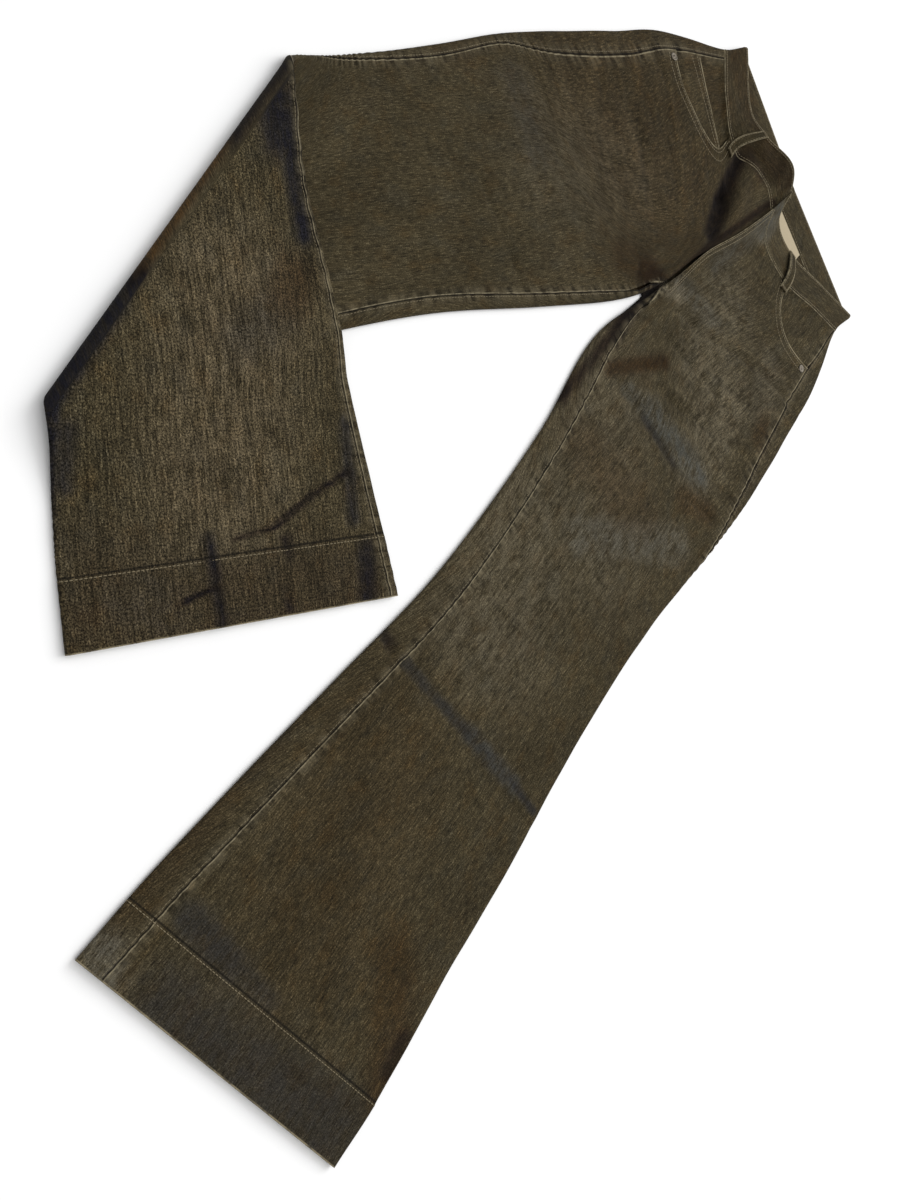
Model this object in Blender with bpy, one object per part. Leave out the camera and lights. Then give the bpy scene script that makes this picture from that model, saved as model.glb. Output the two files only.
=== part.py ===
"""Bootcut jeans laid flat on their back, one leg folded over at the knee.

Metres, +Z up. The jeans lie face up: +Y runs from the hems to the waist, +X towards the wearer's left leg.
The origin is the middle of the plan, on the surface that the jeans rest on.

Each half (right and left) is one skin worked out from a table of cross rows, from the waist to the hem.
A place on the skin has two coordinates:
  u   length down the leg from the top of the waistband, measured along the middle of the leg
  q   way round the flattened leg: 0 to 1 across the top from the inner edge to the outer edge,
      1 to 2 round the outer edge, 2 to 3 back across the underside, 3 to 4 up round the inner edge
Every piece of cloth is a window of that skin, given its thickness inwards.
"""
import math

import bmesh
import bpy
import numpy as np
from mathutils import Vector

# Cloth and its edges
CLOTH = 0.0013
SEAM_GAP = 0.0003
BAND_CLOTH = 0.0021
HEM_CLOTH = 0.0008
FACING_CLOTH = 0.0009
LABEL_CLOTH = 0.0010
LOOP_CLOTH = 0.0014
EDGE_RADIUS = 0.0030
FOLD_RADIUS = 0.0015

# Sizes of the sewn pieces
HEM_DEPTH = 0.055
HEM_SET_BACK = 0.0005
LOOP_WIDTH = 0.010
LOOP_BELOW_BAND = 0.012
LOOP_BELOW_TOP = 0.001
LOOP_ARCH = 0.0035
RIVET_RADIUS = 0.0048
RIVET_HEIGHT = 0.0016
RIVET_INSET = 0.007
COIN_CLOTH = 0.0008
COIN_MOUTH_SHARE = 0.50
COIN_UNDERLAP = 0.006
COIN_LEAST_DEPTH = 0.004
COIN_FROM_CORNER = 0.015
COIN_FROM_OUTSEAM = 0.004
LABEL_LENGTH = 0.060
LABEL_FROM_SEAT = 0.012
LABEL_DROP = 0.036
LEG_LEAVES_THIGH = 0.045
FOLD_HOLDS_LEG = 0.040
CROTCH_GAP_SHARE = 0.012

# The plan is measured from the photographer's feet: this is its middle
PLAN_MIDDLE = (-0.0900, 0.7205)

# Cross rows of the seat: five places across the front, each with plan x, plan y and the height of the
# front's outer face, then how far the outseam lies in from the side. The side is the outermost edge,
# its height the height of the rolled edge.
TORSO_COLUMNS = ("place", "fly", "swell", "trough", "middle", "side", "outseam in")
RIGHT_TORSO = (
    ("waist top", (-0.418, 1.102, 0.0310), (-0.455, 1.104, 0.0380), (-0.487, 1.068, 0.0320),
     (-0.527, 1.071, 0.0140), (-0.606, 1.087, 0.0080), 0.012),
    ("waist seam", (-0.395, 1.069, 0.0252), (-0.438, 1.069, 0.0210), (-0.474, 1.028, 0.0150),
     (-0.529, 1.029, 0.0110), (-0.594, 1.043, 0.0070), 0.013),
    ("pocket end", (-0.366, 1.012, 0.0228), (-0.397, 1.012, 0.0215), (-0.433, 1.004, 0.0090),
     (-0.517, 0.972, 0.0120), (-0.592, 0.950, 0.0062), 0.018),
    ("low hip", (-0.3430, 0.947, 0.0200), (-0.356, 0.948, 0.0185), (-0.385, 0.942, 0.0100),
     (-0.475, 0.900, 0.0115), (-0.573, 0.858, 0.0060), 0.019),
    ("crotch", (-0.3140, 0.884, 0.0130), (-0.332, 0.873, 0.0110), (-0.370, 0.856, 0.0090),
     (-0.455, 0.810, 0.0085), (-0.549, 0.755, 0.0060), 0.018),
)
LEFT_TORSO = (
    ("waist top", (-0.424, 1.099, 0.0370), (-0.390, 1.080, 0.0270), (-0.358, 1.110, 0.0180),
     (-0.330, 1.170, 0.0120), (-0.293, 1.238, 0.0080), 0.006),
    ("waist seam", (-0.401, 1.066, 0.0300), (-0.362, 1.048, 0.0265), (-0.322, 1.090, 0.0180),
     (-0.298, 1.149, 0.0115), (-0.272, 1.200, 0.0070), 0.006),
    ("pocket end", (-0.371, 1.010, 0.0275), (-0.335, 1.018, 0.0215), (-0.290, 1.058, 0.0150),
     (-0.250, 1.096, 0.0110), (-0.210, 1.150, 0.0062), 0.022),
    ("low hip", (-0.3420, 0.947, 0.0222), (-0.308, 0.958, 0.0180), (-0.262, 0.985, 0.0130),
     (-0.203, 1.020, 0.0105), (-0.138, 1.071, 0.0060), 0.020),
    ("crotch", (-0.2970, 0.884, 0.0130), (-0.268, 0.888, 0.0120), (-0.212, 0.902, 0.0105),
     (-0.140, 0.932, 0.0085), (-0.066, 0.984, 0.0060), 0.013),
)

# The back's own inner edge in those rows: the waistband's and the seat seam's plan x and y, on the floor
SEAT_SEAM = ((-0.449, 1.156), (-0.430, 1.117), (-0.396, 1.050), (-0.352, 0.955))

# Cross rows of the legs: plan x and y of the inner and the outer edge, how far the front swells above
# a flat leg, and how far the inseam and the outseam lie in from those edges, less than nothing
# where a seam has slipped under the leg.
LEG_COLUMNS = ("place", "inner x", "inner y", "outer x", "outer y", "swell", "inseam in", "outseam in")
RIGHT_THIGH = (
    ("thigh", -0.2840, 0.810, -0.530, 0.686, 0.0012, 0.011, 0.012),
    ("mid thigh", -0.2700, 0.705, -0.505, 0.616, 0.0006, 0.014, 0.013),
    ("above knee", -0.2540, 0.570, -0.478, 0.532, 0.0000, 0.016, 0.008),
    ("fold start", -0.1735, 0.2404, -0.4624, 0.4655, 0.0000, 0.012, -0.002),
)
RIGHT_CALF = (
    ("fold end", -0.1589, 0.2290, -0.4450, 0.4520, 0.0000, 0.012, -0.002),
    ("calf top", -0.1380, 0.2255, -0.3640, 0.4540, 0.0004, 0.010, -0.005),
    ("calf", -0.1000, 0.2245, -0.2600, 0.4670, 0.0008, 0.009, -0.007),
    ("shin", -0.0720, 0.2230, -0.1640, 0.4800, 0.0010, 0.009, -0.009),
    ("hem stitch", -0.0490, 0.2220, -0.0670, 0.4930, 0.0008, 0.009, -0.010),
    ("hem", 0.0060, 0.2210, -0.0090, 0.5000, 0.0006, 0.009, -0.010),
)
LEFT_LEG = (
    ("thigh", -0.2510, 0.785, -0.014, 0.908, 0.0014, 0.024, 0.004),
    ("mid thigh", -0.1500, 0.688, 0.055, 0.802, 0.0008, 0.028, -0.012),
    ("above knee", -0.0800, 0.612, 0.109, 0.732, 0.0004, 0.030, -0.020),
    ("knee", -0.0190, 0.538, 0.168, 0.664, 0.0004, 0.031, -0.022),
    ("shin", 0.0530, 0.430, 0.245, 0.583, 0.0006, 0.031, -0.024),
    ("calf", 0.1150, 0.337, 0.318, 0.499, 0.0008, 0.030, -0.026),
    ("hem stitch", 0.1760, 0.249, 0.388, 0.424, 0.0006, 0.027, -0.028),
    ("hem", 0.2110, 0.203, 0.426, 0.376, 0.0004, 0.025, -0.028),
)

# The pocket mouths: the column where the mouth leaves the waistband, and how square its curve is
POCKET_CORNER = {"right": 0.555, "left": 0.520}
POCKET_SQUARENESS = 2.4
POCKET_UNDERLAP = 0.009

# Places in a row that are used on their own
INNER, CENTRE, OUTER = 0, 2, 4

# Share of the way from the crotch to the thigh over which the front's edge climbs back up its roll
CLIMB_SHARE = 0.30

# Length down the leg, and share of the way round, over which a slope of the skin is taken
ROW_PROBE = 0.002
SKIN_PROBE = 0.0004
ROUND_PROBE = 0.0016

# How finely the panels are drawn
ROW_SPACING = 0.035
SEAT_ROW_SPACING = 0.0175
BEND_ROWS = 6
ROWS_BESIDE_POCKET = 2
BEFORE_POCKET = 5
POCKET_COLUMNS = (0.0, 0.01, 0.04, 0.10, 0.20, 0.35, 0.55, 0.78, 1.0)
BACK_COUNT = 20
BAND_ROLL = (1.25, 1.5, 1.75)
HEM_ROLL = np.array([0.33, 0.67])

# Ways across the front, and how many columns it takes to reach each: more on a rolled edge
FRONT_COLUMNS = (-1.0, -0.5, 0.0, 1.0, 1.2, 1.4, 1.6, 1.8, 2.0, 2.2)
FRONT_WEIGHTS = (-4.0, -2.0, 0.0, 6.0, 7.0, 8.0, 9.0, 10.0, 11.0, 12.0)

# Ways round the leg between which the back's columns are evenly shared: close together on the rolled edges
BACK_COLUMNS = (0.50, 0.75, 1.00, 1.20, 1.40, 1.60, 1.80, 2.00, 2.20, 2.50, 2.80, 3.00,
                3.20, 3.40, 3.60, 3.80, 4.00, 4.25, 4.50)

# Colours (linear) and finishes
FINISHES = {
    "denim": ((0.052, 0.041, 0.026), 0.88, 0.0),
    "denim inside": ((0.060, 0.050, 0.036), 0.90, 0.0),
    "pocket denim": ((0.056, 0.044, 0.029), 0.88, 0.0),
    "rivet metal": ((0.30, 0.27, 0.23), 0.40, 1.0),
    "label cloth": ((0.62, 0.56, 0.38), 0.75, 0.0),
}


def hermite(knots, values, at):
    """Cubic curve through a value at each knot, its slope there weighed from both neighbours' slopes."""
    steps = np.diff(knots)
    slopes = np.diff(values, axis=0) / steps[:, None]
    weighed = slopes[1:] * steps[:-1, None] + slopes[:-1] * steps[1:, None]
    inner = weighed / (steps[1:] + steps[:-1])[:, None]
    tangents = np.vstack([slopes[:1], inner, slopes[-1:]])
    at = np.clip(at, knots[0], knots[-1])
    span = np.clip(np.searchsorted(knots, at, side="right") - 1, 0, len(steps) - 1)
    width = steps[span]
    s = ((at - knots[span]) / width)[:, None]
    width = width[:, None]
    rise = values[span] * (2 * s**3 - 3 * s**2 + 1) + values[span + 1] * (3 * s**2 - 2 * s**3)
    return rise + width * (tangents[span] * (s**3 - 2 * s**2 + s) + tangents[span + 1] * (s**3 - s**2))


def smooth(value):
    """Ease from 0 to 1 with flat ends."""
    value = np.clip(value, 0.0, 1.0)
    return value * value * (3.0 - 2.0 * value)


def unit(vectors):
    """Vectors scaled to length 1."""
    return vectors / np.linalg.norm(vectors, axis=-1, keepdims=True)


class Rows:
    """A stretch of cross rows, joined lengthwise by smooth curves."""

    def __init__(self, tops, floors, radii, insets, start):
        gaps = np.linalg.norm(np.diff(tops[:, CENTRE, :2], axis=0), axis=1)
        self.knots = start + np.concatenate([[0.0], np.cumsum(gaps)])
        self.columns = np.hstack([tops.reshape(len(tops), -1), floors, radii, insets])

    def at(self, u):
        """The five places across the top, the floor's inner edge, both edge radii and both insets at u."""
        values = hermite(self.knots, self.columns, u)
        return values[:, :15].reshape(-1, 5, 3), values[:, 15:17], values[:, 17:19], values[:, 19:21]


def edge_inwards(points, towards):
    """Unit vectors square to a plan edge, pointing to the leg's side of it."""
    along = unit(np.gradient(points, axis=0))
    square = np.stack([-along[:, 1], along[:, 0]], axis=1)
    side = np.sign(np.sum(square * (towards - points), axis=1, keepdims=True))
    return square * side


def leg_rows(table):
    """The five places across the top of each leg row, with its floor edge, radii and insets."""
    column = dict(zip(LEG_COLUMNS, zip(*table)))
    inner = np.column_stack([column["inner x"], column["inner y"]])
    outer = np.column_stack([column["outer x"], column["outer y"]])
    inner_roll = inner + EDGE_RADIUS * edge_inwards(inner, outer)
    outer_roll = outer + EDGE_RADIUS * edge_inwards(outer, inner)
    share = np.linspace(0.0, 1.0, 5)[None, :, None]
    plan = inner_roll[:, None, :] * (1 - share) + outer_roll[:, None, :] * share
    height = 2 * EDGE_RADIUS + np.array(column["swell"])[:, None] * np.sin(math.pi * share[:, :, 0])
    tops = np.concatenate([plan, height[:, :, None]], axis=2)
    radii = np.full((len(table), 2), EDGE_RADIUS)
    return tops, inner_roll, radii, np.column_stack([column["inseam in"], column["outseam in"]])


def torso_rows(table):
    """The five places across the top of each seat row, with the seat seam, radii and insets."""
    column = dict(zip(TORSO_COLUMNS, zip(*table)))
    tops = np.stack([np.array(column[place]) for place in TORSO_COLUMNS[1:-1]], axis=1)
    radii = tops[:, [INNER, OUTER], 2] / 2
    outer = tops[:, OUTER, :2].copy()
    tops[:, OUTER, :2] = outer + radii[:, 1:2] * edge_inwards(outer, tops[:, CENTRE, :2])
    floors = np.vstack([np.array(SEAT_SEAM), tops[-1:, INNER, :2]])
    floors[:-1, 0] += 1.5 * SEAM_GAP * np.sign(tops[:-1, OUTER, 0] - tops[:-1, INNER, 0])
    return tops, floors, radii, np.column_stack([np.zeros(len(table)), column["outseam in"]])


class Half:
    """One half of the jeans as a skin over (u, q), the folded right leg included."""

    def __init__(self, side):
        self.side = side
        self.turn = 1.0 if side == "left" else -1.0
        right = side == "right"
        torso = RIGHT_TORSO if right else LEFT_TORSO
        leg = RIGHT_THIGH if right else LEFT_LEG
        upper = [np.concatenate(pair) for pair in zip(torso_rows(torso), leg_rows(leg))]
        self.upper = Rows(*upper, 0.0)
        self.place = dict(zip([row[0] for row in torso + leg], self.upper.knots))
        self.fold = self.upper.knots[-1]
        self.bend = 0.0
        self.lower = None
        if right:
            self.axis_height = 2 * EDGE_RADIUS + FOLD_RADIUS
            self.bend = math.pi * (self.axis_height - EDGE_RADIUS)
            self.lower = Rows(*leg_rows(RIGHT_CALF), self.fold + self.bend)
            self.place.update(zip([row[0] for row in RIGHT_CALF], self.lower.knots))
            self.set_fold()
        self.hem = self.place["hem"]

    def set_fold(self):
        """The fold's line in plan, outwards across it, and how its edges drift along it in the bend.

        The first row after the bend is the last one before it, moved along the line by that drift.
        """
        tops = self.upper.at(np.array([self.fold]))[0][0]
        after = self.lower.at(np.array([self.fold + self.bend]))[0][0]
        line = unit(tops[INNER, :2] - tops[OUTER, :2])
        self.line = line
        self.fold_point = tops[OUTER, :2]
        self.out = np.array([line[1], -line[0]])
        slide = (after - tops)[[INNER, OUTER], :2] @ line
        self.drift = slide / self.bend
        moved = tops[:, :2] + np.linspace(slide[0], slide[1], 5)[:, None] * line
        self.lower.columns[0, :15].reshape(5, 3)[:, :2] = moved
        self.lower.columns[0, 15:17] = moved[INNER]
        edge = self.upper.columns[-2:, 0:2]
        along = unit(edge[1] - edge[0])
        self.thigh_edge = edge[1]
        self.thigh_across = np.array([-along[1], along[0]])

    def support(self, plan):
        """Height of what the folded part of the leg lies on: the thigh, then down to the floor off its edge.

        The fold itself holds the cloth up, so the drop comes in over a way from the fold's line.
        """
        beyond = (plan - self.thigh_edge) @ self.thigh_across
        from_fold = (self.fold_point - plan) @ self.out
        drop = smooth(beyond / LEG_LEAVES_THIGH) * smooth(from_fold / FOLD_HOLDS_LEG)
        return (2 * EDGE_RADIUS + 2 * FOLD_RADIUS) * (1.0 - drop)

    def section(self, rows, u, q):
        """Plan place and local height of points on the flattened tube at u, q."""
        tops, floors, radii, _ = rows.at(u)
        low = np.clip(u - ROW_PROBE, rows.knots[0], rows.knots[-1])
        high = np.clip(u + ROW_PROBE, rows.knots[0], rows.knots[-1])
        tops_low = rows.at(low)[0]
        tops_high = rows.at(high)[0]
        inner_edge = tops[:, INNER, :2]
        outer_edge = tops[:, OUTER, :2]
        out_inner = self.square(tops_high[:, INNER, :2] - tops_low[:, INNER, :2], inner_edge - outer_edge)
        out_outer = self.square(tops_high[:, OUTER, :2] - tops_low[:, OUTER, :2], outer_edge - inner_edge)
        places = np.linspace(0.0, 1.0, 5)
        share = np.clip(q, 0.0, 1.0)
        top = self.across(places, tops, share)
        plan = top[:, :2]
        height = top[:, 2]
        outer_roll = (q > 1.0) & (q < 2.0)
        angle = math.pi * (q - 1.0)
        radius = radii[:, 1]
        rolled = outer_edge + out_outer * (radius * np.sin(angle))[:, None]
        plan = np.where(outer_roll[:, None], rolled, plan)
        height = np.where(outer_roll, radius * (1 + np.cos(angle)), height)
        below = q >= 2.0
        back = np.clip(q - 2.0, 0.0, 1.0)[:, None]
        plan = np.where(below[:, None], outer_edge * (1 - back) + floors * back, plan)
        height = np.where(below, 0.0, height)
        inner_roll = (q < 0.0) | (q > 3.0)
        angle = math.pi * np.where(q < 0.0, q + 1.0, q - 3.0)
        radius = radii[:, 0]
        start = np.where((q < 0.0)[:, None], inner_edge, floors)
        plan = np.where(inner_roll[:, None], start + out_inner * (radius * np.sin(angle))[:, None], plan)
        height = np.where(inner_roll, radius * (1 - np.cos(angle)), height)
        lap = q > 4.0
        over = self.across(places, tops, np.clip(q - 4.0, 0.0, 1.0))
        plan = np.where(lap[:, None], over[:, :2], plan)
        height = np.where(lap, over[:, 2], height)
        under = q < -1.0
        back = np.clip(-1.0 - q, 0.0, 1.0)[:, None]
        plan = np.where(under[:, None], floors * (1 - back) + outer_edge * back, plan)
        height = np.where(under, 0.0, height)
        return plan, height

    @staticmethod
    def square(along, towards):
        """Unit vectors square to a plan direction, on the side of another."""
        across = unit(np.stack([-along[:, 1], along[:, 0]], axis=1))
        return across * np.sign(np.sum(across * towards, axis=1, keepdims=True))

    @staticmethod
    def across(places, tops, share):
        """Smooth curve across five places, each row with its own places, at each row's own share."""
        count = len(places) - 1
        slopes = np.diff(tops, axis=1) * count
        inner = (slopes[:, 1:] + slopes[:, :-1]) / 2
        tangents = np.concatenate([slopes[:, :1], inner, slopes[:, -1:]], axis=1)
        span = np.clip((share * count).astype(int), 0, count - 1)
        s = (share * count - span)[:, None]
        pick = np.arange(len(share))
        rise = tops[pick, span] * (2 * s**3 - 3 * s**2 + 1) + tops[pick, span + 1] * (3 * s**2 - 2 * s**3)
        bend = tangents[pick, span] * (s**3 - 2 * s**2 + s) + tangents[pick, span + 1] * (s**3 - s**2)
        return rise + bend / count

    def skin(self, u, q):
        """Outer face of the cloth at u, q."""
        plan, height = self.section(self.upper, np.minimum(u, self.fold), q)
        points = np.column_stack([plan, height])
        if self.lower is None:
            return points
        ahead = (plan - self.fold_point) @ self.out
        way = np.clip(u - self.fold, 0.0, self.bend)
        share = np.clip(np.where(q > 2.0, 3.0 - q, q), 0.0, 1.0)
        drift = (self.drift[0] * (1 - share) + self.drift[1] * share) * way
        way = way + ahead
        angle = math.pi * np.clip(way, 0.0, self.bend) / self.bend
        arm = self.axis_height - height
        reach = np.sin(angle) * arm + np.minimum(way, 0.0) - np.maximum(way - self.bend, 0.0)
        bent = plan + self.out * (reach - ahead)[:, None] + self.line * drift[:, None]
        bent = np.column_stack([bent, self.axis_height - np.cos(angle) * arm])
        points = np.where((u > self.fold)[:, None], bent, points)
        beyond = np.maximum(u, self.fold + self.bend)
        flat, height = self.section(self.lower, beyond, q)
        crown = self.lower.at(beyond)[0][:, CENTRE, 2] - 2 * EDGE_RADIUS
        level = 2 * EDGE_RADIUS - np.minimum(height, 2 * EDGE_RADIUS)
        level += crown * np.sin(math.pi * np.clip(q - 2.0, 0.0, 1.0))
        flipped = np.column_stack([flat, self.support(flat) + level])
        return np.where((u > self.fold + self.bend)[:, None], flipped, points)

    def face(self, u, q, depth=0.0):
        """Points of the skin moved inwards by a depth, or outwards where it is less than nothing."""
        u = np.asarray(u, float)
        q = np.asarray(q, float)
        shape = u.shape
        u = u.ravel()
        q = q.ravel()
        points = self.skin(u, q)
        if np.any(depth):
            along = self.skin(u + SKIN_PROBE, q) - self.skin(u - SKIN_PROBE, q)
            round_it = self.skin(u, q + ROUND_PROBE) - self.skin(u, q - ROUND_PROBE)
            normal = unit(np.cross(along, round_it)) * self.turn
            points = points - normal * np.broadcast_to(depth, shape).ravel()[:, None]
        points = points.reshape(shape + (3,))
        return points - np.array([PLAN_MIDDLE[0], PLAN_MIDDLE[1], 0.0])

    def inset_to_q(self, inset, u, outer):
        """Way round the tube of a seam that lies a length of cloth in from an edge."""
        rows, at = self.pick(u)
        tops, _, radii, _ = rows.at(at)
        radius = radii[:, 1 if outer else 0]
        width = np.linalg.norm(tops[:, OUTER, :2] - tops[:, INNER, :2], axis=1)
        quarter = math.pi * radius / 2
        on_top = (inset - quarter) / width
        under = (-inset - quarter) / width
        rolled = 0.5 - inset / (math.pi * radius)
        from_top = np.where(inset > quarter, -on_top, np.where(inset < -quarter, 1.0 + under, rolled))
        return 1.0 + from_top if outer else -from_top

    def pick(self, u):
        """The rows that hold u, and u within them. Every u of one call is on the same side of the fold."""
        if self.lower is not None and u[0] > self.fold + self.bend / 2:
            return self.lower, np.maximum(u, self.fold + self.bend)
        return self.upper, np.minimum(u, self.fold)

    def seams(self, u, gap):
        """The q of the inseam and of the outseam at each u, moved a length of cloth towards the front."""
        inner = np.empty(len(u))
        outer = np.empty(len(u))
        for index, value in enumerate(u):
            one = np.array([value])
            rows, at = self.pick(one)
            insets = rows.at(at)[3] + gap
            outer[index] = self.inset_to_q(insets[:, 1], one, True)[0]
            inner[index] = self.inseam(value, insets[0, 0], gap)
        return inner, outer

    def rise_roll(self, u):
        """How far an edge of the rise has turned down towards the crotch, as a share of half a roll."""
        start = self.place["low hip"]
        way = np.clip((u - start) / (self.place["crotch"] - start), 0.0, 1.0)
        return np.minimum(np.arcsin(way**2) / math.pi, 0.5 - CROTCH_GAP_SHARE)

    def inseam(self, u, inset, gap):
        """The front's inner edge: open along the rise, down at the crotch, then up on the thigh."""
        crotch = self.place["crotch"]
        if u <= crotch:
            return -self.rise_roll(u)
        radius = self.upper.at(np.array([u]))[2][0, 0]
        climb = min((u - crotch) / (CLIMB_SHARE * (self.place["thigh"] - crotch)), 1.0)
        rolled = -0.5 * (1.0 - climb) + gap / (math.pi * radius)
        if climb < 1.0:
            return rolled
        return max(self.inset_to_q(np.array([inset]), np.array([u]), False)[0], rolled)


def material(name):
    """A Principled material from the table of finishes."""
    found = bpy.data.materials.get(name)
    if found:
        return found
    colour, roughness, metallic = FINISHES[name]
    made = bpy.data.materials.new(name)
    made.use_nodes = True
    shader = made.node_tree.nodes["Principled BSDF"]
    shader.inputs["Base Color"].default_value = (*colour, 1.0)
    shader.inputs["Roughness"].default_value = roughness
    shader.inputs["Metallic"].default_value = metallic
    return made


def add_object(name, mesh, finish):
    """Put a mesh in the jeans' collection with its material."""
    mesh.materials.append(material(finish))
    made = bpy.data.objects.new(name, mesh)
    bpy.data.collections["bootcut jeans"].objects.link(made)
    return made


def cloth(name, outer, inner, finish, turn, ring=False):
    """A wall of cloth between an outer and an inner grid of points, closed round its rim.

    A ring joins its last column to its first, and has a rim at each end only.
    """
    rows, columns = outer.shape[:2]
    index = np.arange(rows * columns).reshape(rows, columns)
    if ring:
        index = np.column_stack([index, index[:, :1]])
    inside = index + rows * columns

    def quads(grid):
        corners = [grid[:-1, :-1], grid[1:, :-1], grid[1:, 1:], grid[:-1, 1:]]
        return np.stack(corners, axis=-1).reshape(-1, 4)

    def rim(edge, edge_inside):
        return np.stack([edge[:-1], edge[1:], edge_inside[1:], edge_inside[:-1]], axis=-1)

    other_way = [0, 3, 2, 1]
    faces = [quads(index), quads(inside)[:, other_way]]
    faces += [rim(index[0], inside[0]), rim(index[-1], inside[-1])[:, other_way]]
    if not ring:
        faces += [rim(index[:, -1], inside[:, -1]), rim(index[:, 0], inside[:, 0])[:, other_way]]
    faces = np.vstack(faces)
    if turn < 0:
        faces = faces[:, other_way]
    points = np.vstack([outer.reshape(-1, 3), inner.reshape(-1, 3)])
    mesh = bpy.data.meshes.new(name)
    mesh.from_pydata(points.tolist(), [], faces.tolist())
    mesh.shade_smooth()
    mesh.set_sharp_from_angle(angle=math.radians(50))
    return add_object(name, mesh, finish)


def window(name, half, u, q, depth, thickness, finish, ring=False):
    """A piece of cloth cut from a half's skin: its outer face at one depth, its wall inwards from there."""
    outer = half.face(u, q, depth)
    inner = half.face(u, q, depth + thickness)
    return cloth(name, outer, inner, finish, half.turn, ring)


def lengths(half, start, stop):
    """Values of u from start to stop, closer on the seat and through the knee's bend."""
    marks = sorted({start, stop} | {value for value in half.place.values() if start < value < stop})
    values = []
    for low, high in zip(marks[:-1], marks[1:]):
        step = ROW_SPACING
        if low < half.place["thigh"]:
            step = SEAT_ROW_SPACING
        elif half.bend and low == half.fold:
            step = half.bend / BEND_ROWS
        count = max(1, round((high - low) / step))
        values += list(np.linspace(low, high, count, endpoint=False))
    return np.array(values + [stop])


def pocket_mouth(half, q, q_out):
    """Depth of the pocket mouth below the waist seam, a rounded scoop from its corner to the outseam."""
    corner = POCKET_CORNER[half.side]
    way = np.clip((q - corner) / (q_out - corner), 0.0, 1.0)
    scoop = (1.0 - (1.0 - way)**POCKET_SQUARENESS)**(1.0 / POCKET_SQUARENESS)
    return (half.place["pocket end"] - half.place["waist seam"]) * scoop


def waist_columns(half, outer):
    """Ways across the front at the waist seam, bunched where the pocket's curve turns."""
    corner = POCKET_CORNER[half.side]
    before = np.linspace(0.0, 1.0, BEFORE_POCKET, endpoint=False) * corner
    return np.concatenate([before, corner + (outer - corner) * np.array(POCKET_COLUMNS)])


def front_lengths(half):
    """The u of the front's grid: its first row runs along the waist seam and round the pocket mouth."""
    top = half.place["waist seam"] + SEAM_GAP / 2
    u = lengths(half, top, half.hem)
    outer = half.seams(u[:1], SEAM_GAP / 2)[1][0]
    columns = waist_columns(half, outer)
    mouth = pocket_mouth(half, columns, outer)
    ease = np.clip(1.0 - (u - top) / (half.place["crotch"] - top), 0.0, 1.0)**2
    return u[:, None] + mouth[None, :] * ease[:, None], columns


def front(half):
    """The front panel: from the waist seam and the pocket mouth down to the hem."""
    u, at_waist = front_lengths(half)
    inner = half.seams(u[:, 0], SEAM_GAP / 2)[0]
    outer = half.seams(u[:, -1], SEAM_GAP / 2)[1]
    weights = np.array(FRONT_WEIGHTS)
    first = np.interp(inner, FRONT_COLUMNS, weights)
    last = np.interp(outer, FRONT_COLUMNS, weights)
    on_leg = np.linspace(0.0, 1.0, len(at_waist))
    leg_q = np.interp(first[:, None] + (last - first)[:, None] * on_leg, weights, FRONT_COLUMNS)
    corner = POCKET_CORNER[half.side]
    beyond = np.clip((at_waist - corner) / (at_waist[-1] - corner), 0.0, 1.0)
    seat_q = at_waist + (outer - at_waist[-1])[:, None] * beyond
    seat_q += inner[:, None] * (1.0 - at_waist / at_waist[-1])
    leg_share = smooth((u[:, :1] - u[0, 0]) / (half.place["crotch"] - u[0, 0]))
    q = seat_q * (1 - leg_share) + leg_q * leg_share
    return window(f"front_{half.side}", half, u, q, 0.0, CLOTH, "denim")


def back(half):
    """The back panel: from the outseam round the outer edge, under the leg and up to the inseam."""
    along_front = front_lengths(half)[0][:, -1]
    top = half.place["waist seam"] + SEAM_GAP / 2
    above = np.linspace(top, along_front[0], ROWS_BESIDE_POCKET, endpoint=False)
    u = np.concatenate([above, along_front])
    inner, outer = half.seams(u, -SEAM_GAP / 2)
    end = np.where(u <= half.place["crotch"], 3.0 + half.rise_roll(u), 4.0 + inner)
    weights = np.arange(len(BACK_COLUMNS), dtype=float)
    first = np.interp(outer, BACK_COLUMNS, weights)
    last = np.interp(end, BACK_COLUMNS, weights)
    share = np.linspace(0.0, 1.0, BACK_COUNT)
    q = np.interp(first[:, None] + (last - first)[:, None] * share, weights, BACK_COLUMNS)
    return window(f"back_{half.side}", half, u[:, None] + 0 * q, q, 0.0, CLOTH, "denim")


def waistband(right, left):
    """One band from the fly round the right side, the back and the left side to the fly again."""
    outer = []
    inner = []
    for half in (right, left):
        seam = half.place["waist seam"]
        edge = half.seams(np.array([seam]), SEAM_GAP / 2)[1][0]
        columns = np.concatenate([waist_columns(half, edge), [1.0], BAND_ROLL, np.linspace(2.0, 3.0, 8)])
        q, u = np.meshgrid(columns, np.linspace(0.0, seam - SEAM_GAP / 2, 4))
        outer.append(half.face(u, q))
        inner.append(half.face(u, q, BAND_CLOTH))
    walls = [np.concatenate([right_part, left_part[:, -2::-1]], axis=1)
             for right_part, left_part in (outer, inner)]
    return cloth("waistband", walls[0], walls[1], "denim", right.turn)


def hem(half):
    """The turned-up end of a leg, a band inside both panels."""
    depth = CLOTH + SEAM_GAP
    u = np.linspace(half.hem - HEM_DEPTH, half.hem - HEM_SET_BACK, 4)
    q = np.concatenate([np.linspace(0, 1, 7), HEM_ROLL + 1, np.linspace(2, 3, 7), HEM_ROLL + 3])
    q, u = np.meshgrid(q, u)
    return window(f"hem_{half.side}", half, u, q, depth, HEM_CLOTH, "denim inside", ring=True)


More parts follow.
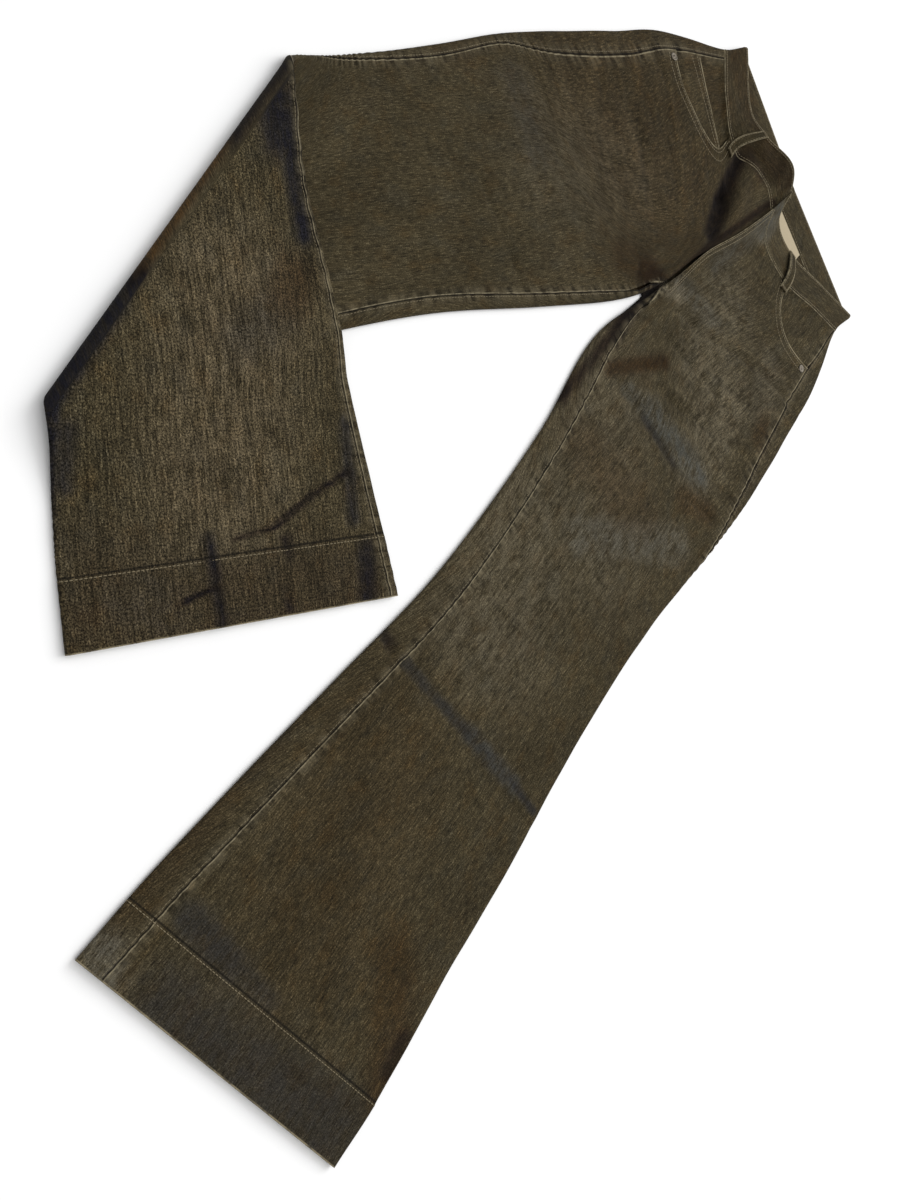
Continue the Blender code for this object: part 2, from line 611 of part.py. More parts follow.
def pocket_facing(half, depth):
    """The denim that shows inside the pocket mouth, under the front panel, cut from the skin at a depth."""
    top = half.place["waist seam"] + 2 * SEAM_GAP
    outer = half.seams(np.array([top, half.place["pocket end"]]), 2 * SEAM_GAP)[1]
    q_top = waist_columns(half, outer[0])[BEFORE_POCKET - 1:]
    share = (q_top - q_top[0]) / (q_top[-1] - q_top[0])
    mouth = pocket_mouth(half, q_top, outer[0])
    u = top + (mouth + POCKET_UNDERLAP) * np.linspace(0.0, 1.0, 6)[:, None]
    q = q_top + (outer[1] - outer[0]) * share * np.clip((u - top) / (half.place["pocket end"] - top), 0, 1)
    return window(f"pocket_facing_{half.side}", half, u, q, depth, FACING_CLOTH, "pocket denim")


def coin_pocket(half, depth):
    """The small pocket on a facing: its mouth shows, its end is under the front panel."""
    waist = half.place["waist seam"]
    outer = half.seams(np.array([waist]), SEAM_GAP)[1][0]
    q_top = np.linspace(POCKET_CORNER[half.side] + COIN_FROM_CORNER, outer - COIN_FROM_OUTSEAM, 7)
    mouth = pocket_mouth(half, q_top, outer)
    start = waist + COIN_MOUTH_SHARE * (half.place["pocket end"] - waist)
    stop = np.maximum(waist + mouth + COIN_UNDERLAP, start + COIN_LEAST_DEPTH)
    u = start + (stop - start) * np.linspace(0.0, 1.0, 4)[:, None]
    return window(f"coin_pocket_{half.side}", half, u, q_top + 0 * u, depth, COIN_CLOTH, "pocket denim")


def belt_loop(half):
    """A strip from the front panel over the waistband, arched off the cloth between its ends."""
    share = np.linspace(0.0, 1.0, 9)[:, None]
    bottom = half.place["waist seam"] + LOOP_BELOW_BAND
    tops = half.upper.at(np.array([half.place["waist seam"]]))[0][0]
    width = LOOP_WIDTH / np.linalg.norm(tops[OUTER, :2] - tops[INNER, :2])
    along = bottom - share[:, 0] * (bottom - LOOP_BELOW_TOP)
    q, u = np.meshgrid(0.5 + width * np.linspace(-0.5, 0.5, 3), along)
    lift = 2 * SEAM_GAP + LOOP_CLOTH + LOOP_ARCH * np.sin(math.pi * share) + 0 * q
    outer = half.face(u, q, -lift)
    inner = half.face(u, q, LOOP_CLOTH - lift)
    return cloth(f"belt_loop_{half.side}", outer, inner, "denim", -half.turn)


def rivet(half):
    """A domed rivet at the pocket mouth's end on the outseam, on the front panel."""
    u = np.array([half.place["pocket end"] + RIVET_INSET])
    outer = half.seams(u, SEAM_GAP / 2)[1][0]
    tops = half.upper.at(u)[0][0]
    width = np.linalg.norm(tops[OUTER, :2] - tops[INNER, :2])
    q = np.array([outer - RIVET_INSET / width])
    seat = half.face(u, q, -SEAM_GAP)[0]
    normal = unit(half.face(u, q, -2 * RIVET_RADIUS)[0] - seat)
    mesh = bpy.data.meshes.new(f"rivet_{half.side}")
    shape = bmesh.new()
    bmesh.ops.create_uvsphere(shape, u_segments=14, v_segments=8, radius=1.0)
    bmesh.ops.bisect_plane(shape, geom=shape.verts[:] + shape.edges[:] + shape.faces[:], dist=1e-6,
                           plane_co=(0, 0, 0), plane_no=(0, 0, -1), clear_outer=True)
    rim = [edge for edge in shape.edges if edge.is_boundary]
    bmesh.ops.edgeloop_fill(shape, edges=rim)
    bmesh.ops.scale(shape, vec=(RIVET_RADIUS, RIVET_RADIUS, RIVET_HEIGHT), verts=shape.verts)
    bmesh.ops.recalc_face_normals(shape, faces=shape.faces)
    shape.to_mesh(mesh)
    shape.free()
    mesh.shade_smooth()
    mesh.set_sharp_from_angle(angle=math.radians(40))
    made = add_object(f"rivet_{half.side}", mesh, "rivet metal")
    made.location = seat + normal * SEAM_GAP
    made.rotation_mode = "QUATERNION"
    made.rotation_quaternion = Vector(normal).to_track_quat("Z", "Y")
    return made


def label(half):
    """A bare cloth label inside the back, hanging from the waistband's seam."""
    top = half.place["waist seam"] + SEAM_GAP
    tops, floors, _, _ = half.upper.at(np.array([top]))
    width = np.linalg.norm(tops[0, OUTER, :2] - floors[0])
    first = 3.0 - (LABEL_FROM_SEAT + LABEL_LENGTH) / width
    last = 3.0 - LABEL_FROM_SEAT / width
    q, u = np.meshgrid(np.linspace(first, last, 5), np.linspace(top, top + LABEL_DROP, 4))
    lift = CLOTH + SEAM_GAP
    outer = half.face(u, q, lift)
    inner = half.face(u, q, lift + LABEL_CLOTH)
    return cloth("label", outer, inner, "label cloth", half.turn)


def main():
    for old in list(bpy.data.objects):
        bpy.data.objects.remove(old, do_unlink=True)
    group = bpy.data.collections.new("bootcut jeans")
    bpy.context.scene.collection.children.link(group)
    right = Half("right")
    left = Half("left")
    for half in (right, left):
        front(half)
        back(half)
        hem(half)
        belt_loop(half)
        rivet(half)
    waistband(right, left)
    under_front = CLOTH + SEAM_GAP
    coin_pocket(right, under_front)
    pocket_facing(right, under_front + COIN_CLOTH + SEAM_GAP)
    pocket_facing(left, under_front)
    label(left)


main()
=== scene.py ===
"""Looks of the bootcut jeans: fine cloth with its creases, seams, topstitching, rivets, wear and painted
shade.

Metres, +Z up, in the frame's own place: +Y from the hems to the waist, +X towards the wearer's left leg.
Each half of the jeans is one skin over two coordinates, worked out from the same cross rows as its solids:
  u   length down the leg from the top of the waistband, measured along the middle of the leg
  q   way round the flattened leg: 0 to 1 across the top from the inner edge to the outer edge,
      1 to 2 round the outer edge, 2 to 3 back across the underside, 3 to 4 up round the inner edge
"""
import math

import bpy
import numpy as np
from mathutils import Matrix, Vector


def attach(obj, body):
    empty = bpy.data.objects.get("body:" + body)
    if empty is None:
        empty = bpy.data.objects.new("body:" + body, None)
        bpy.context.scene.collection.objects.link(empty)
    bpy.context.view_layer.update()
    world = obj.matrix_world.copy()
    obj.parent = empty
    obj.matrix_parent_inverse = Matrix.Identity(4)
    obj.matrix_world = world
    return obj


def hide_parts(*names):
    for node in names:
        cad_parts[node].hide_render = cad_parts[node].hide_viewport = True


# Cloth and its edges
CLOTH = 0.0013
SEAM_GAP = 0.0003
BAND_CLOTH = 0.0021
HEM_CLOTH = 0.0008
FACING_CLOTH = 0.0009
LABEL_CLOTH = 0.0010
LOOP_CLOTH = 0.0014
EDGE_RADIUS = 0.0030
FOLD_RADIUS = 0.0015

# Sizes of the sewn pieces. The label's drop is measured down the leg's middle: by the seat seam, where the
# label hangs, it comes to about 53 mm of cloth.
HEM_DEPTH = 0.055
HEM_SET_BACK = 0.0005
HEM_ROW_FROM_EDGE = 0.004
LOOP_WIDTH = 0.010
LOOP_BELOW_BAND = 0.012
LOOP_BELOW_TOP = 0.001
LOOP_ARCH = 0.0035
LOOP_CROWN = 0.0003
LOOP_EDGE_RIDGE = 0.0002
RIVET_RADIUS = 0.0048
RIVET_HEIGHT = 0.0016
RIVET_INSET = 0.007
COIN_CLOTH = 0.0008
COIN_MOUTH_SHARE = 0.50
COIN_UNDERLAP = 0.006
COIN_LEAST_DEPTH = 0.004
COIN_FROM_CORNER = 0.015
COIN_FROM_OUTSEAM = 0.004
FACING_REACH = 0.0025
FACING_LEVEL_FROM = 0.002
FACING_EASE = 0.008
LABEL_LENGTH = 0.060
LABEL_FROM_SEAT = 0.012
LABEL_DROP = 0.032
LEG_LEAVES_THIGH = 0.045
FOLD_HOLDS_LEG = 0.040
CROTCH_GAP_SHARE = 0.012
CROTCH_REACH = (0.060, 0.066)
CROTCH_ABOVE = 0.008

# The plan is measured from the photographer's feet: this is its middle
PLAN_MIDDLE = (-0.0900, 0.7205)

# Cross rows of the seat: five places across the front, each with plan x, plan y and the height of the
# front's outer face, then how far the outseam lies in from the side. The side is the outermost edge,
# its height the height of the rolled edge.
TORSO_COLUMNS = ("place", "fly", "swell", "trough", "middle", "side", "outseam in")
RIGHT_TORSO = (
    ("waist top", (-0.418, 1.102, 0.0310), (-0.455, 1.104, 0.0380), (-0.487, 1.068, 0.0320),
     (-0.527, 1.071, 0.0140), (-0.606, 1.087, 0.0080), 0.012),
    ("waist seam", (-0.395, 1.069, 0.0252), (-0.438, 1.069, 0.0210), (-0.474, 1.028, 0.0150),
     (-0.529, 1.029, 0.0110), (-0.594, 1.043, 0.0070), 0.013),
    ("pocket end", (-0.366, 1.012, 0.0228), (-0.397, 1.012, 0.0215), (-0.433, 1.004, 0.0090),
     (-0.517, 0.972, 0.0120), (-0.592, 0.950, 0.0062), 0.018),
    ("low hip", (-0.3430, 0.947, 0.0200), (-0.356, 0.948, 0.0185), (-0.385, 0.942, 0.0100),
     (-0.475, 0.900, 0.0115), (-0.573, 0.858, 0.0060), 0.019),
    ("crotch", (-0.3140, 0.884, 0.0130), (-0.332, 0.873, 0.0110), (-0.370, 0.856, 0.0090),
     (-0.455, 0.810, 0.0085), (-0.549, 0.755, 0.0060), 0.018),
)
LEFT_TORSO = (
    ("waist top", (-0.424, 1.099, 0.0370), (-0.390, 1.080, 0.0270), (-0.358, 1.110, 0.0180),
     (-0.330, 1.170, 0.0120), (-0.293, 1.238, 0.0080), 0.006),
    ("waist seam", (-0.401, 1.066, 0.0300), (-0.362, 1.048, 0.0265), (-0.322, 1.090, 0.0180),
     (-0.298, 1.149, 0.0115), (-0.272, 1.200, 0.0070), 0.006),
    ("pocket end", (-0.371, 1.010, 0.0275), (-0.335, 1.018, 0.0215), (-0.290, 1.058, 0.0150),
     (-0.250, 1.096, 0.0110), (-0.210, 1.150, 0.0062), 0.022),
    ("low hip", (-0.3420, 0.947, 0.0222), (-0.308, 0.958, 0.0180), (-0.262, 0.985, 0.0130),
     (-0.203, 1.020, 0.0105), (-0.138, 1.071, 0.0060), 0.020),
    ("crotch", (-0.2970, 0.884, 0.0130), (-0.268, 0.888, 0.0120), (-0.212, 0.902, 0.0105),
     (-0.140, 0.932, 0.0085), (-0.066, 0.984, 0.0060), 0.013),
)

# The back's own inner edge in those rows: the waistband's and the seat seam's plan x and y, on the floor
SEAT_SEAM = ((-0.449, 1.156), (-0.430, 1.117), (-0.396, 1.050), (-0.352, 0.955))

# Cross rows of the legs: plan x and y of the inner and the outer edge, how far the front swells above
# a flat leg, and how far the inseam and the outseam lie in from those edges, less than nothing
# where a seam has slipped under the leg.
LEG_COLUMNS = ("place", "inner x", "inner y", "outer x", "outer y", "swell", "inseam in", "outseam in")
RIGHT_THIGH = (
    ("thigh", -0.2840, 0.810, -0.530, 0.686, 0.0012, 0.011, 0.012),
    ("mid thigh", -0.2700, 0.705, -0.505, 0.616, 0.0006, 0.014, 0.013),
    ("above knee", -0.2540, 0.570, -0.478, 0.532, 0.0000, 0.016, 0.008),
    ("fold start", -0.1735, 0.2404, -0.4624, 0.4655, 0.0000, 0.012, -0.002),
)
RIGHT_CALF = (
    ("fold end", -0.1589, 0.2290, -0.4450, 0.4520, 0.0000, 0.012, -0.002),
    ("calf top", -0.1380, 0.2255, -0.3640, 0.4540, 0.0004, 0.010, -0.005),
    ("calf", -0.1000, 0.2245, -0.2600, 0.4670, 0.0008, 0.009, -0.007),
    ("shin", -0.0720, 0.2230, -0.1640, 0.4800, 0.0010, 0.009, -0.009),
    ("hem stitch", -0.0490, 0.2220, -0.0670, 0.4930, 0.0008, 0.009, -0.010),
    ("hem", 0.0060, 0.2210, -0.0090, 0.5000, 0.0006, 0.009, -0.010),
)
LEFT_LEG = (
    ("thigh", -0.2510, 0.785, -0.014, 0.908, 0.0014, 0.024, 0.004),
    ("mid thigh", -0.1500, 0.688, 0.055, 0.802, 0.0008, 0.028, -0.012),
    ("above knee", -0.0800, 0.612, 0.109, 0.732, 0.0004, 0.030, -0.020),
    ("knee", -0.0190, 0.538, 0.168, 0.664, 0.0004, 0.031, -0.022),
    ("shin", 0.0530, 0.430, 0.245, 0.583, 0.0006, 0.031, -0.024),
    ("calf", 0.1150, 0.337, 0.318, 0.499, 0.0008, 0.030, -0.026),
    ("hem stitch", 0.1760, 0.249, 0.388, 0.424, 0.0006, 0.027, -0.028),
    ("hem", 0.2110, 0.203, 0.426, 0.376, 0.0004, 0.025, -0.028),
)

# The pocket mouths: the column where the mouth leaves the waistband, and how square its curve is
POCKET_CORNER = {"right": 0.555, "left": 0.520}
POCKET_SQUARENESS = 3.0
POCKET_SAG = {"right": 0.22, "left": 0.04}
POCKET_UNDERLAP = 0.009

# Places in a row that are used on their own
INNER, CENTRE, OUTER = 0, 2, 4

# Share of the way from the crotch to the thigh over which the front's edge climbs back up its roll
CLIMB_SHARE = 0.30

# Length down the leg, and share of the way round, over which a slope of the skin is taken
ROW_PROBE = 0.002
SKIN_PROBE = 0.0004
ROUND_PROBE = 0.0016

# How finely the panels are drawn
ROW_SPACING = 0.0028
BEND_ROWS = 14
ROWS_BESIDE_POCKET = 16
BEFORE_POCKET = 30
POCKET_COLUMNS = (0.0, 0.01, 0.04, 0.10, 0.20, 0.35, 0.55, 0.78, 1.0)
POCKET_FINENESS = 6
BACK_COUNT = 92
SHARP_ANGLE = 60.0
MOUTH_REACH = 0.012

# Ways across the front, and how many columns it takes to reach each: more on a rolled edge
FRONT_COLUMNS = (-1.0, -0.5, 0.0, 1.0, 1.2, 1.4, 1.6, 1.8, 2.0, 2.2)
FRONT_WEIGHTS = (-4.0, -2.0, 0.0, 6.0, 7.0, 8.0, 9.0, 10.0, 11.0, 12.0)

# Ways round the leg between which the back's columns are evenly shared: close together on the rolled edges
BACK_COLUMNS = (0.50, 0.75, 1.00, 1.20, 1.40, 1.60, 1.80, 2.00, 2.20, 2.50, 2.80, 3.00,
                3.20, 3.40, 3.60, 3.80, 4.00, 4.25, 4.50)


# Camera and light: metres, degrees and radians, watts
CAMERA_HEIGHT = 0.7393
CAMERA_TILT = 53.0
CAMERA_ROLL = 0.1222
CAMERA_LENS = 31.5
SKY = 0.52
LIGHTS = (
    ("window", (-2.0, 7.5, 7.0), 7.0, 690.0),
    ("ceiling", (0.4, -0.1, 2.6), 2.6, 31.0),
)


def cubic(s, width, start, stop, slope, next_slope):
    """Cubic curve between two values with a slope at each, s of the way across a span of a width."""
    rise = start * (2 * s**3 - 3 * s**2 + 1) + stop * (3 * s**2 - 2 * s**3)
    return rise + width * (slope * (s**3 - 2 * s**2 + s) + next_slope * (s**3 - s**2))


def hermite(knots, values, at):
    """Cubic curve through a value at each knot, its slope there weighed from both neighbours' slopes."""
    steps = np.diff(knots)
    slopes = np.diff(values, axis=0) / steps[:, None]
    weighed = slopes[1:] * steps[:-1, None] + slopes[:-1] * steps[1:, None]
    inner = weighed / (steps[1:] + steps[:-1])[:, None]
    tangents = np.vstack([slopes[:1], inner, slopes[-1:]])
    at = np.clip(at, knots[0], knots[-1])
    span = np.clip(np.searchsorted(knots, at, side="right") - 1, 0, len(steps) - 1)
    s = ((at - knots[span]) / steps[span])[:, None]
    ends = (values[span], values[span + 1], tangents[span], tangents[span + 1])
    return cubic(s, steps[span][:, None], *ends)


def smooth(value):
    """Ease from 0 to 1 with flat ends."""
    value = np.clip(value, 0.0, 1.0)
    return value * value * (3.0 - 2.0 * value)


def unit(vectors):
    """Vectors scaled to length 1."""
    return vectors / np.linalg.norm(vectors, axis=-1, keepdims=True)


class Rows:
    """A stretch of cross rows, joined lengthwise by smooth curves."""

    def __init__(self, tops, floors, radii, insets, start):
        gaps = np.linalg.norm(np.diff(tops[:, CENTRE, :2], axis=0), axis=1)
        self.knots = start + np.concatenate([[0.0], np.cumsum(gaps)])
        self.columns = np.hstack([tops.reshape(len(tops), -1), floors, radii, insets])

    def at(self, u):
        """The five places across the top, the floor's inner edge, both edge radii and both insets at u."""
        values = hermite(self.knots, self.columns, u)
        return values[:, :15].reshape(-1, 5, 3), values[:, 15:17], values[:, 17:19], values[:, 19:21]


def edge_inwards(points, towards):
    """Unit vectors square to a plan edge, pointing to the leg's side of it."""
    along = unit(np.gradient(points, axis=0))
    square = np.stack([-along[:, 1], along[:, 0]], axis=1)
    side = np.sign(np.sum(square * (towards - points), axis=1, keepdims=True))
    return square * side


def leg_rows(table):
    """The five places across the top of each leg row, with its floor edge, radii and insets."""
    column = dict(zip(LEG_COLUMNS, zip(*table)))
    inner = np.column_stack([column["inner x"], column["inner y"]])
    outer = np.column_stack([column["outer x"], column["outer y"]])
    inner_roll = inner + EDGE_RADIUS * edge_inwards(inner, outer)
    outer_roll = outer + EDGE_RADIUS * edge_inwards(outer, inner)
    share = np.linspace(0.0, 1.0, 5)[None, :, None]
    plan = inner_roll[:, None, :] * (1 - share) + outer_roll[:, None, :] * share
    height = 2 * EDGE_RADIUS + np.array(column["swell"])[:, None] * np.sin(math.pi * share[:, :, 0])
    tops = np.concatenate([plan, height[:, :, None]], axis=2)
    radii = np.full((len(table), 2), EDGE_RADIUS)
    return tops, inner_roll, radii, np.column_stack([column["inseam in"], column["outseam in"]])


def torso_rows(table):
    """The five places across the top of each seat row, with the seat seam, radii and insets."""
    column = dict(zip(TORSO_COLUMNS, zip(*table)))
    tops = np.stack([np.array(column[place]) for place in TORSO_COLUMNS[1:-1]], axis=1)
    radii = tops[:, [INNER, OUTER], 2] / 2
    outer = tops[:, OUTER, :2].copy()
    tops[:, OUTER, :2] = outer + radii[:, 1:2] * edge_inwards(outer, tops[:, CENTRE, :2])
    floors = np.vstack([np.array(SEAT_SEAM), tops[-1:, INNER, :2]])
    floors[:-1, 0] += 1.5 * SEAM_GAP * np.sign(tops[:-1, OUTER, 0] - tops[:-1, INNER, 0])
    return tops, floors, radii, np.column_stack([np.zeros(len(table)), column["outseam in"]])


class Half:
    """One half of the jeans as a skin over (u, q), the folded right leg included."""

    def __init__(self, side):
        self.side = side
        self.turn = 1.0 if side == "left" else -1.0
        right = side == "right"
        torso = RIGHT_TORSO if right else LEFT_TORSO
        leg = RIGHT_THIGH if right else LEFT_LEG
        upper = [np.concatenate(pair) for pair in zip(torso_rows(torso), leg_rows(leg))]
        self.upper = Rows(*upper, 0.0)
        self.place = dict(zip([row[0] for row in torso + leg], self.upper.knots))
        self.fold = self.upper.knots[-1]
        self.bend = 0.0
        self.lower = None
        if right:
            self.axis_height = 2 * EDGE_RADIUS + FOLD_RADIUS
            self.bend = math.pi * (self.axis_height - EDGE_RADIUS)
            self.lower = Rows(*leg_rows(RIGHT_CALF), self.fold + self.bend)
            self.place.update(zip([row[0] for row in RIGHT_CALF], self.lower.knots))
            self.set_fold()
        self.hem = self.place["hem"]
        self.tabulate()

    def set_fold(self):
        """The fold's line in plan, outwards across it, and how its edges drift along it in the bend.

        The first row after the bend is the last one before it, moved along the line by that drift.
        """
        tops = self.upper.at(np.array([self.fold]))[0][0]
        after = self.lower.at(np.array([self.fold + self.bend]))[0][0]
        line = unit(tops[INNER, :2] - tops[OUTER, :2])
        self.line = line
        self.fold_point = tops[OUTER, :2]
        self.out = np.array([line[1], -line[0]])
        slide = (after - tops)[[INNER, OUTER], :2] @ line
        self.drift = slide / self.bend
        moved = tops[:, :2] + np.linspace(slide[0], slide[1], 5)[:, None] * line
        self.lower.columns[0, :15].reshape(5, 3)[:, :2] = moved
        self.lower.columns[0, 15:17] = moved[INNER]
        edge = self.upper.columns[-2:, 0:2]
        along = unit(edge[1] - edge[0])
        self.thigh_edge = edge[1]
        self.thigh_across = np.array([-along[1], along[0]])

    def support(self, plan):
        """Height of what the folded part of the leg lies on: the thigh, then down to the floor off its edge.

        The fold itself holds the cloth up, so the drop comes in over a way from the fold's line.
        """
        beyond = (plan - self.thigh_edge) @ self.thigh_across
        from_fold = (self.fold_point - plan) @ self.out
        drop = smooth(beyond / LEG_LEAVES_THIGH) * smooth(from_fold / FOLD_HOLDS_LEG)
        return (2 * EDGE_RADIUS + 2 * FOLD_RADIUS) * (1.0 - drop)

    def section(self, rows, u, q):
        """Plan place and local height of points on the flattened tube at u, q.

        A q under 0 goes down the inner edge from the front: it is the same way round as 4 more, but its roll
        starts from the front's own edge.
        """
        tops, floors, radii, _ = rows.at(u)
        low, high = [rows.at(np.clip(u + step, rows.knots[0], rows.knots[-1]))[0]
                     for step in (-ROW_PROBE, ROW_PROBE)]
        along = high[..., :2] - low[..., :2]
        inner_edge = tops[:, INNER, :2]
        outer_edge = tops[:, OUTER, :2]
        out_inner = self.square(along[:, INNER], inner_edge - outer_edge)
        out_outer = self.square(along[:, OUTER], outer_edge - inner_edge)
        inner_start = np.where((q < 0.0)[:, None], inner_edge, floors)
        q = np.where(q < 0.0, q + 4.0, q)
        top = self.across(tops, np.clip(np.where(q > 4.0, q - 4.0, q), 0.0, 1.0))
        outer_angle = math.pi * (q - 1.0)
        inner_angle = math.pi * (q - 3.0)
        inner_radius, outer_radius = radii.T
        back = np.clip(q - 2.0, 0.0, 1.0)[:, None]
        parts = [(q > 1.0) & (q < 2.0), (q >= 2.0) & (q <= 3.0), (q > 3.0) & (q <= 4.0)]
        plans = [outer_edge + out_outer * (outer_radius * np.sin(outer_angle))[:, None],
                 outer_edge * (1 - back) + floors * back,
                 inner_start + out_inner * (inner_radius * np.sin(inner_angle))[:, None]]
        heights = [outer_radius * (1 + np.cos(outer_angle)), 0 * q, inner_radius * (1 - np.cos(inner_angle))]
        plan = np.select([part[:, None] for part in parts], plans, top[:, :2])
        return plan, np.select(parts, heights, top[:, 2])

    @staticmethod
    def square(along, towards):
        """Unit vectors square to a plan direction, on the side of another."""
        across = unit(np.stack([-along[:, 1], along[:, 0]], axis=1))
        return across * np.sign(np.sum(across * towards, axis=1, keepdims=True))

    @staticmethod
    def across(tops, share):
        """Smooth curve across the places of a row, each row at its own share of the way."""
        count = tops.shape[1] - 1
        slopes = np.diff(tops, axis=1) * count
        inner = (slopes[:, 1:] + slopes[:, :-1]) / 2
        tangents = np.concatenate([slopes[:, :1], inner, slopes[:, -1:]], axis=1)
        span = np.clip((share * count).astype(int), 0, count - 1)
        s = (share * count - span)[:, None]
        pick = np.arange(len(share))
        ends = (tops[pick, span], tops[pick, span + 1], tangents[pick, span], tangents[pick, span + 1])
        return cubic(s, 1 / count, *ends)

    def skin(self, u, q):
        """Outer face of the cloth at u, q."""
        plan, height = self.section(self.upper, np.minimum(u, self.fold), q)
        points = np.column_stack([plan, height])
        if self.lower is None:
            return points
        ahead = (plan - self.fold_point) @ self.out
        way = np.clip(u - self.fold, 0.0, self.bend)
        share = np.clip(np.where(q > 2.0, 3.0 - q, q), 0.0, 1.0)
        drift = (self.drift[0] * (1 - share) + self.drift[1] * share) * way
        way = way + ahead
        angle = math.pi * np.clip(way, 0.0, self.bend) / self.bend
        arm = self.axis_height - height
        reach = np.sin(angle) * arm + np.minimum(way, 0.0) - np.maximum(way - self.bend, 0.0)
        bent = plan + self.out * (reach - ahead)[:, None] + self.line * drift[:, None]
        bent = np.column_stack([bent, self.axis_height - np.cos(angle) * arm])
        points = np.where((u > self.fold)[:, None], bent, points)
        beyond = np.maximum(u, self.fold + self.bend)
        flat, height = self.section(self.lower, beyond, q)
        crown = self.lower.at(beyond)[0][:, CENTRE, 2] - 2 * EDGE_RADIUS
        level = 2 * EDGE_RADIUS - np.minimum(height, 2 * EDGE_RADIUS)
        level += crown * np.sin(math.pi * np.clip(q - 2.0, 0.0, 1.0))
        flipped = np.column_stack([flat, self.support(flat) + level])
        return np.where((u > self.fold + self.bend)[:, None], flipped, points)

    def face(self, u, q, depth=0.0):
        """Points of the creased skin moved inwards by a depth, or outwards where it is less than nothing."""
        return self.walls(u, q, (depth,))[0]

    def walls(self, u, q, depths):
        """Grids of points at several depths under the creased skin, each with the same relief."""
        u, q = np.broadcast_arrays(np.asarray(u, float), np.asarray(q, float))
        shape = u.shape
        u = u.ravel()
        q = q.ravel()
        points = self.skin(u, q)
        along = self.skin(u + SKIN_PROBE, q) - self.skin(u - SKIN_PROBE, q)
        round_it = self.skin(u, q + ROUND_PROBE) - self.skin(u, q - ROUND_PROBE)
        normal = unit(np.cross(along, round_it)) * self.turn
        points = points - np.array([PLAN_MIDDLE[0], PLAN_MIDDLE[1], 0.0])
        raised = self.relief(u, q, points, normal)
        grids = []
        for depth in depths:
            depth = np.broadcast_to(depth, shape).ravel()
            moved = points + normal * (raised - depth)[:, None]
            moved[:, 2] = np.maximum(moved[:, 2], 0.0)
            grids.append(moved.reshape(shape + (3,)))
        return grids

    def tabulate(self):
        """Lengths down the leg with the seams' places and the leg's width there, to read between."""
        self.table_u = np.linspace(0.0, self.hem, 900)
        self.table_inner, self.table_outer = self.seams(self.table_u, 0.0)
        self.table_width = np.array([self.width_at(value) for value in self.table_u])

    def width(self, u):
        """Plan distance between the leg's two edges, read between the tabulated lengths."""
        return np.interp(u, self.table_u, self.table_width)

    def width_at(self, value):
        """Plan distance between the leg's two edges at one u."""
        rows, at = self.pick(np.array([value]))
        tops = rows.at(at)[0][0]
        return np.linalg.norm(tops[OUTER, :2] - tops[INNER, :2])

    def across_length(self, u, q):
        """Length of cloth from the middle of the front round to q: flats by width, rolls by radius."""
        width = self.width(u)
        roll = math.pi * EDGE_RADIUS
        flats = np.clip(q, 0.0, 1.0) + np.clip(q - 2.0, 0.0, 1.0) + np.clip(q - 4.0, 0.0, 1.0)
        rolls = np.clip(q - 1.0, 0.0, 1.0) + np.clip(q - 3.0, 0.0, 1.0) + np.clip(q, -1.0, 0.0)
        return width * (flats - 0.5) + roll * rolls

    def grain(self, u, q, points):
        """Cloth coordinates in metres: round the leg and down it, or along the plan on the folded part."""
        uv = np.column_stack([self.across_length(u, q), u])
        flipped = np.column_stack([-points[:, 1], points[:, 0] + 1.0])
        return np.where((self.layer(u) == CALF)[:, None], flipped, uv)

    def from_seams(self, u, q):
        """Length of cloth from the outseam and from the inseam to q, positive towards the back."""
        outer = np.interp(u, self.table_u, self.table_outer)
        inner = np.interp(u, self.table_u, self.table_inner)
        here = self.across_length(u, q)
        wrapped = self.across_length(u, inner + 4.0)
        inner_gap = np.where(q > 2.5, wrapped - here, self.across_length(u, inner) - here)
        return here - self.across_length(u, outer), inner_gap

    def relief(self, u, q, points, normal):
        """How far the cloth stands out of its smooth skin: creases, seam ridges, puckers and unevenness."""
        up = np.clip(normal[:, 2], 0.0, 1.0)
        raised = crease_height(self.layer(u), points) * up
        outseam, inseam = self.from_seams(u, q)
        on_leg = smooth((u - self.place["pocket end"]) / SEAMS_EASE_IN)
        below_crotch = smooth((u - self.place["crotch"]) / INSEAM_EASE_IN)
        raised += np.maximum(pucker(outseam, u, 0.4), pucker(inseam, u, 1.9) * below_crotch) * on_leg
        raised += SEAM_STEP * np.exp(-np.maximum(outseam, 0.0) / SEAM_STEP_REACH) * (outseam > 0) * on_leg
        raised += UNEVEN * waves(points) * up * smooth(u / UNEVEN_EASE_IN)
        raised += HEM_STEP * smooth((u - self.hem + HEM_DEPTH) / HEM_STEP_WIDTH) * up
        on_floor = (points[:, 2] < ON_FLOOR) & (up < 0.5)
        return np.where(on_floor, 0.0, raised)

    def layer(self, u):
        """Which of the crease tables a length down the leg belongs to."""
        if self.side == "left":
            return np.full(len(u), STRAIGHT)
        return np.where(u > self.fold + self.bend, CALF, THIGH)

    def inset_to_q(self, inset, u, outer):
        """Way round the tube of a seam that lies a length of cloth in from an edge."""
        rows, at = self.pick(u)
        tops, _, radii, _ = rows.at(at)
        radius = radii[:, 1 if outer else 0]
        width = np.linalg.norm(tops[:, OUTER, :2] - tops[:, INNER, :2], axis=1)
        quarter = math.pi * radius / 2
        on_top = (inset - quarter) / width
        under = (-inset - quarter) / width
        rolled = 0.5 - inset / (math.pi * radius)
        from_top = np.where(inset > quarter, -on_top, np.where(inset < -quarter, 1.0 + under, rolled))
        return 1.0 + from_top if outer else -from_top

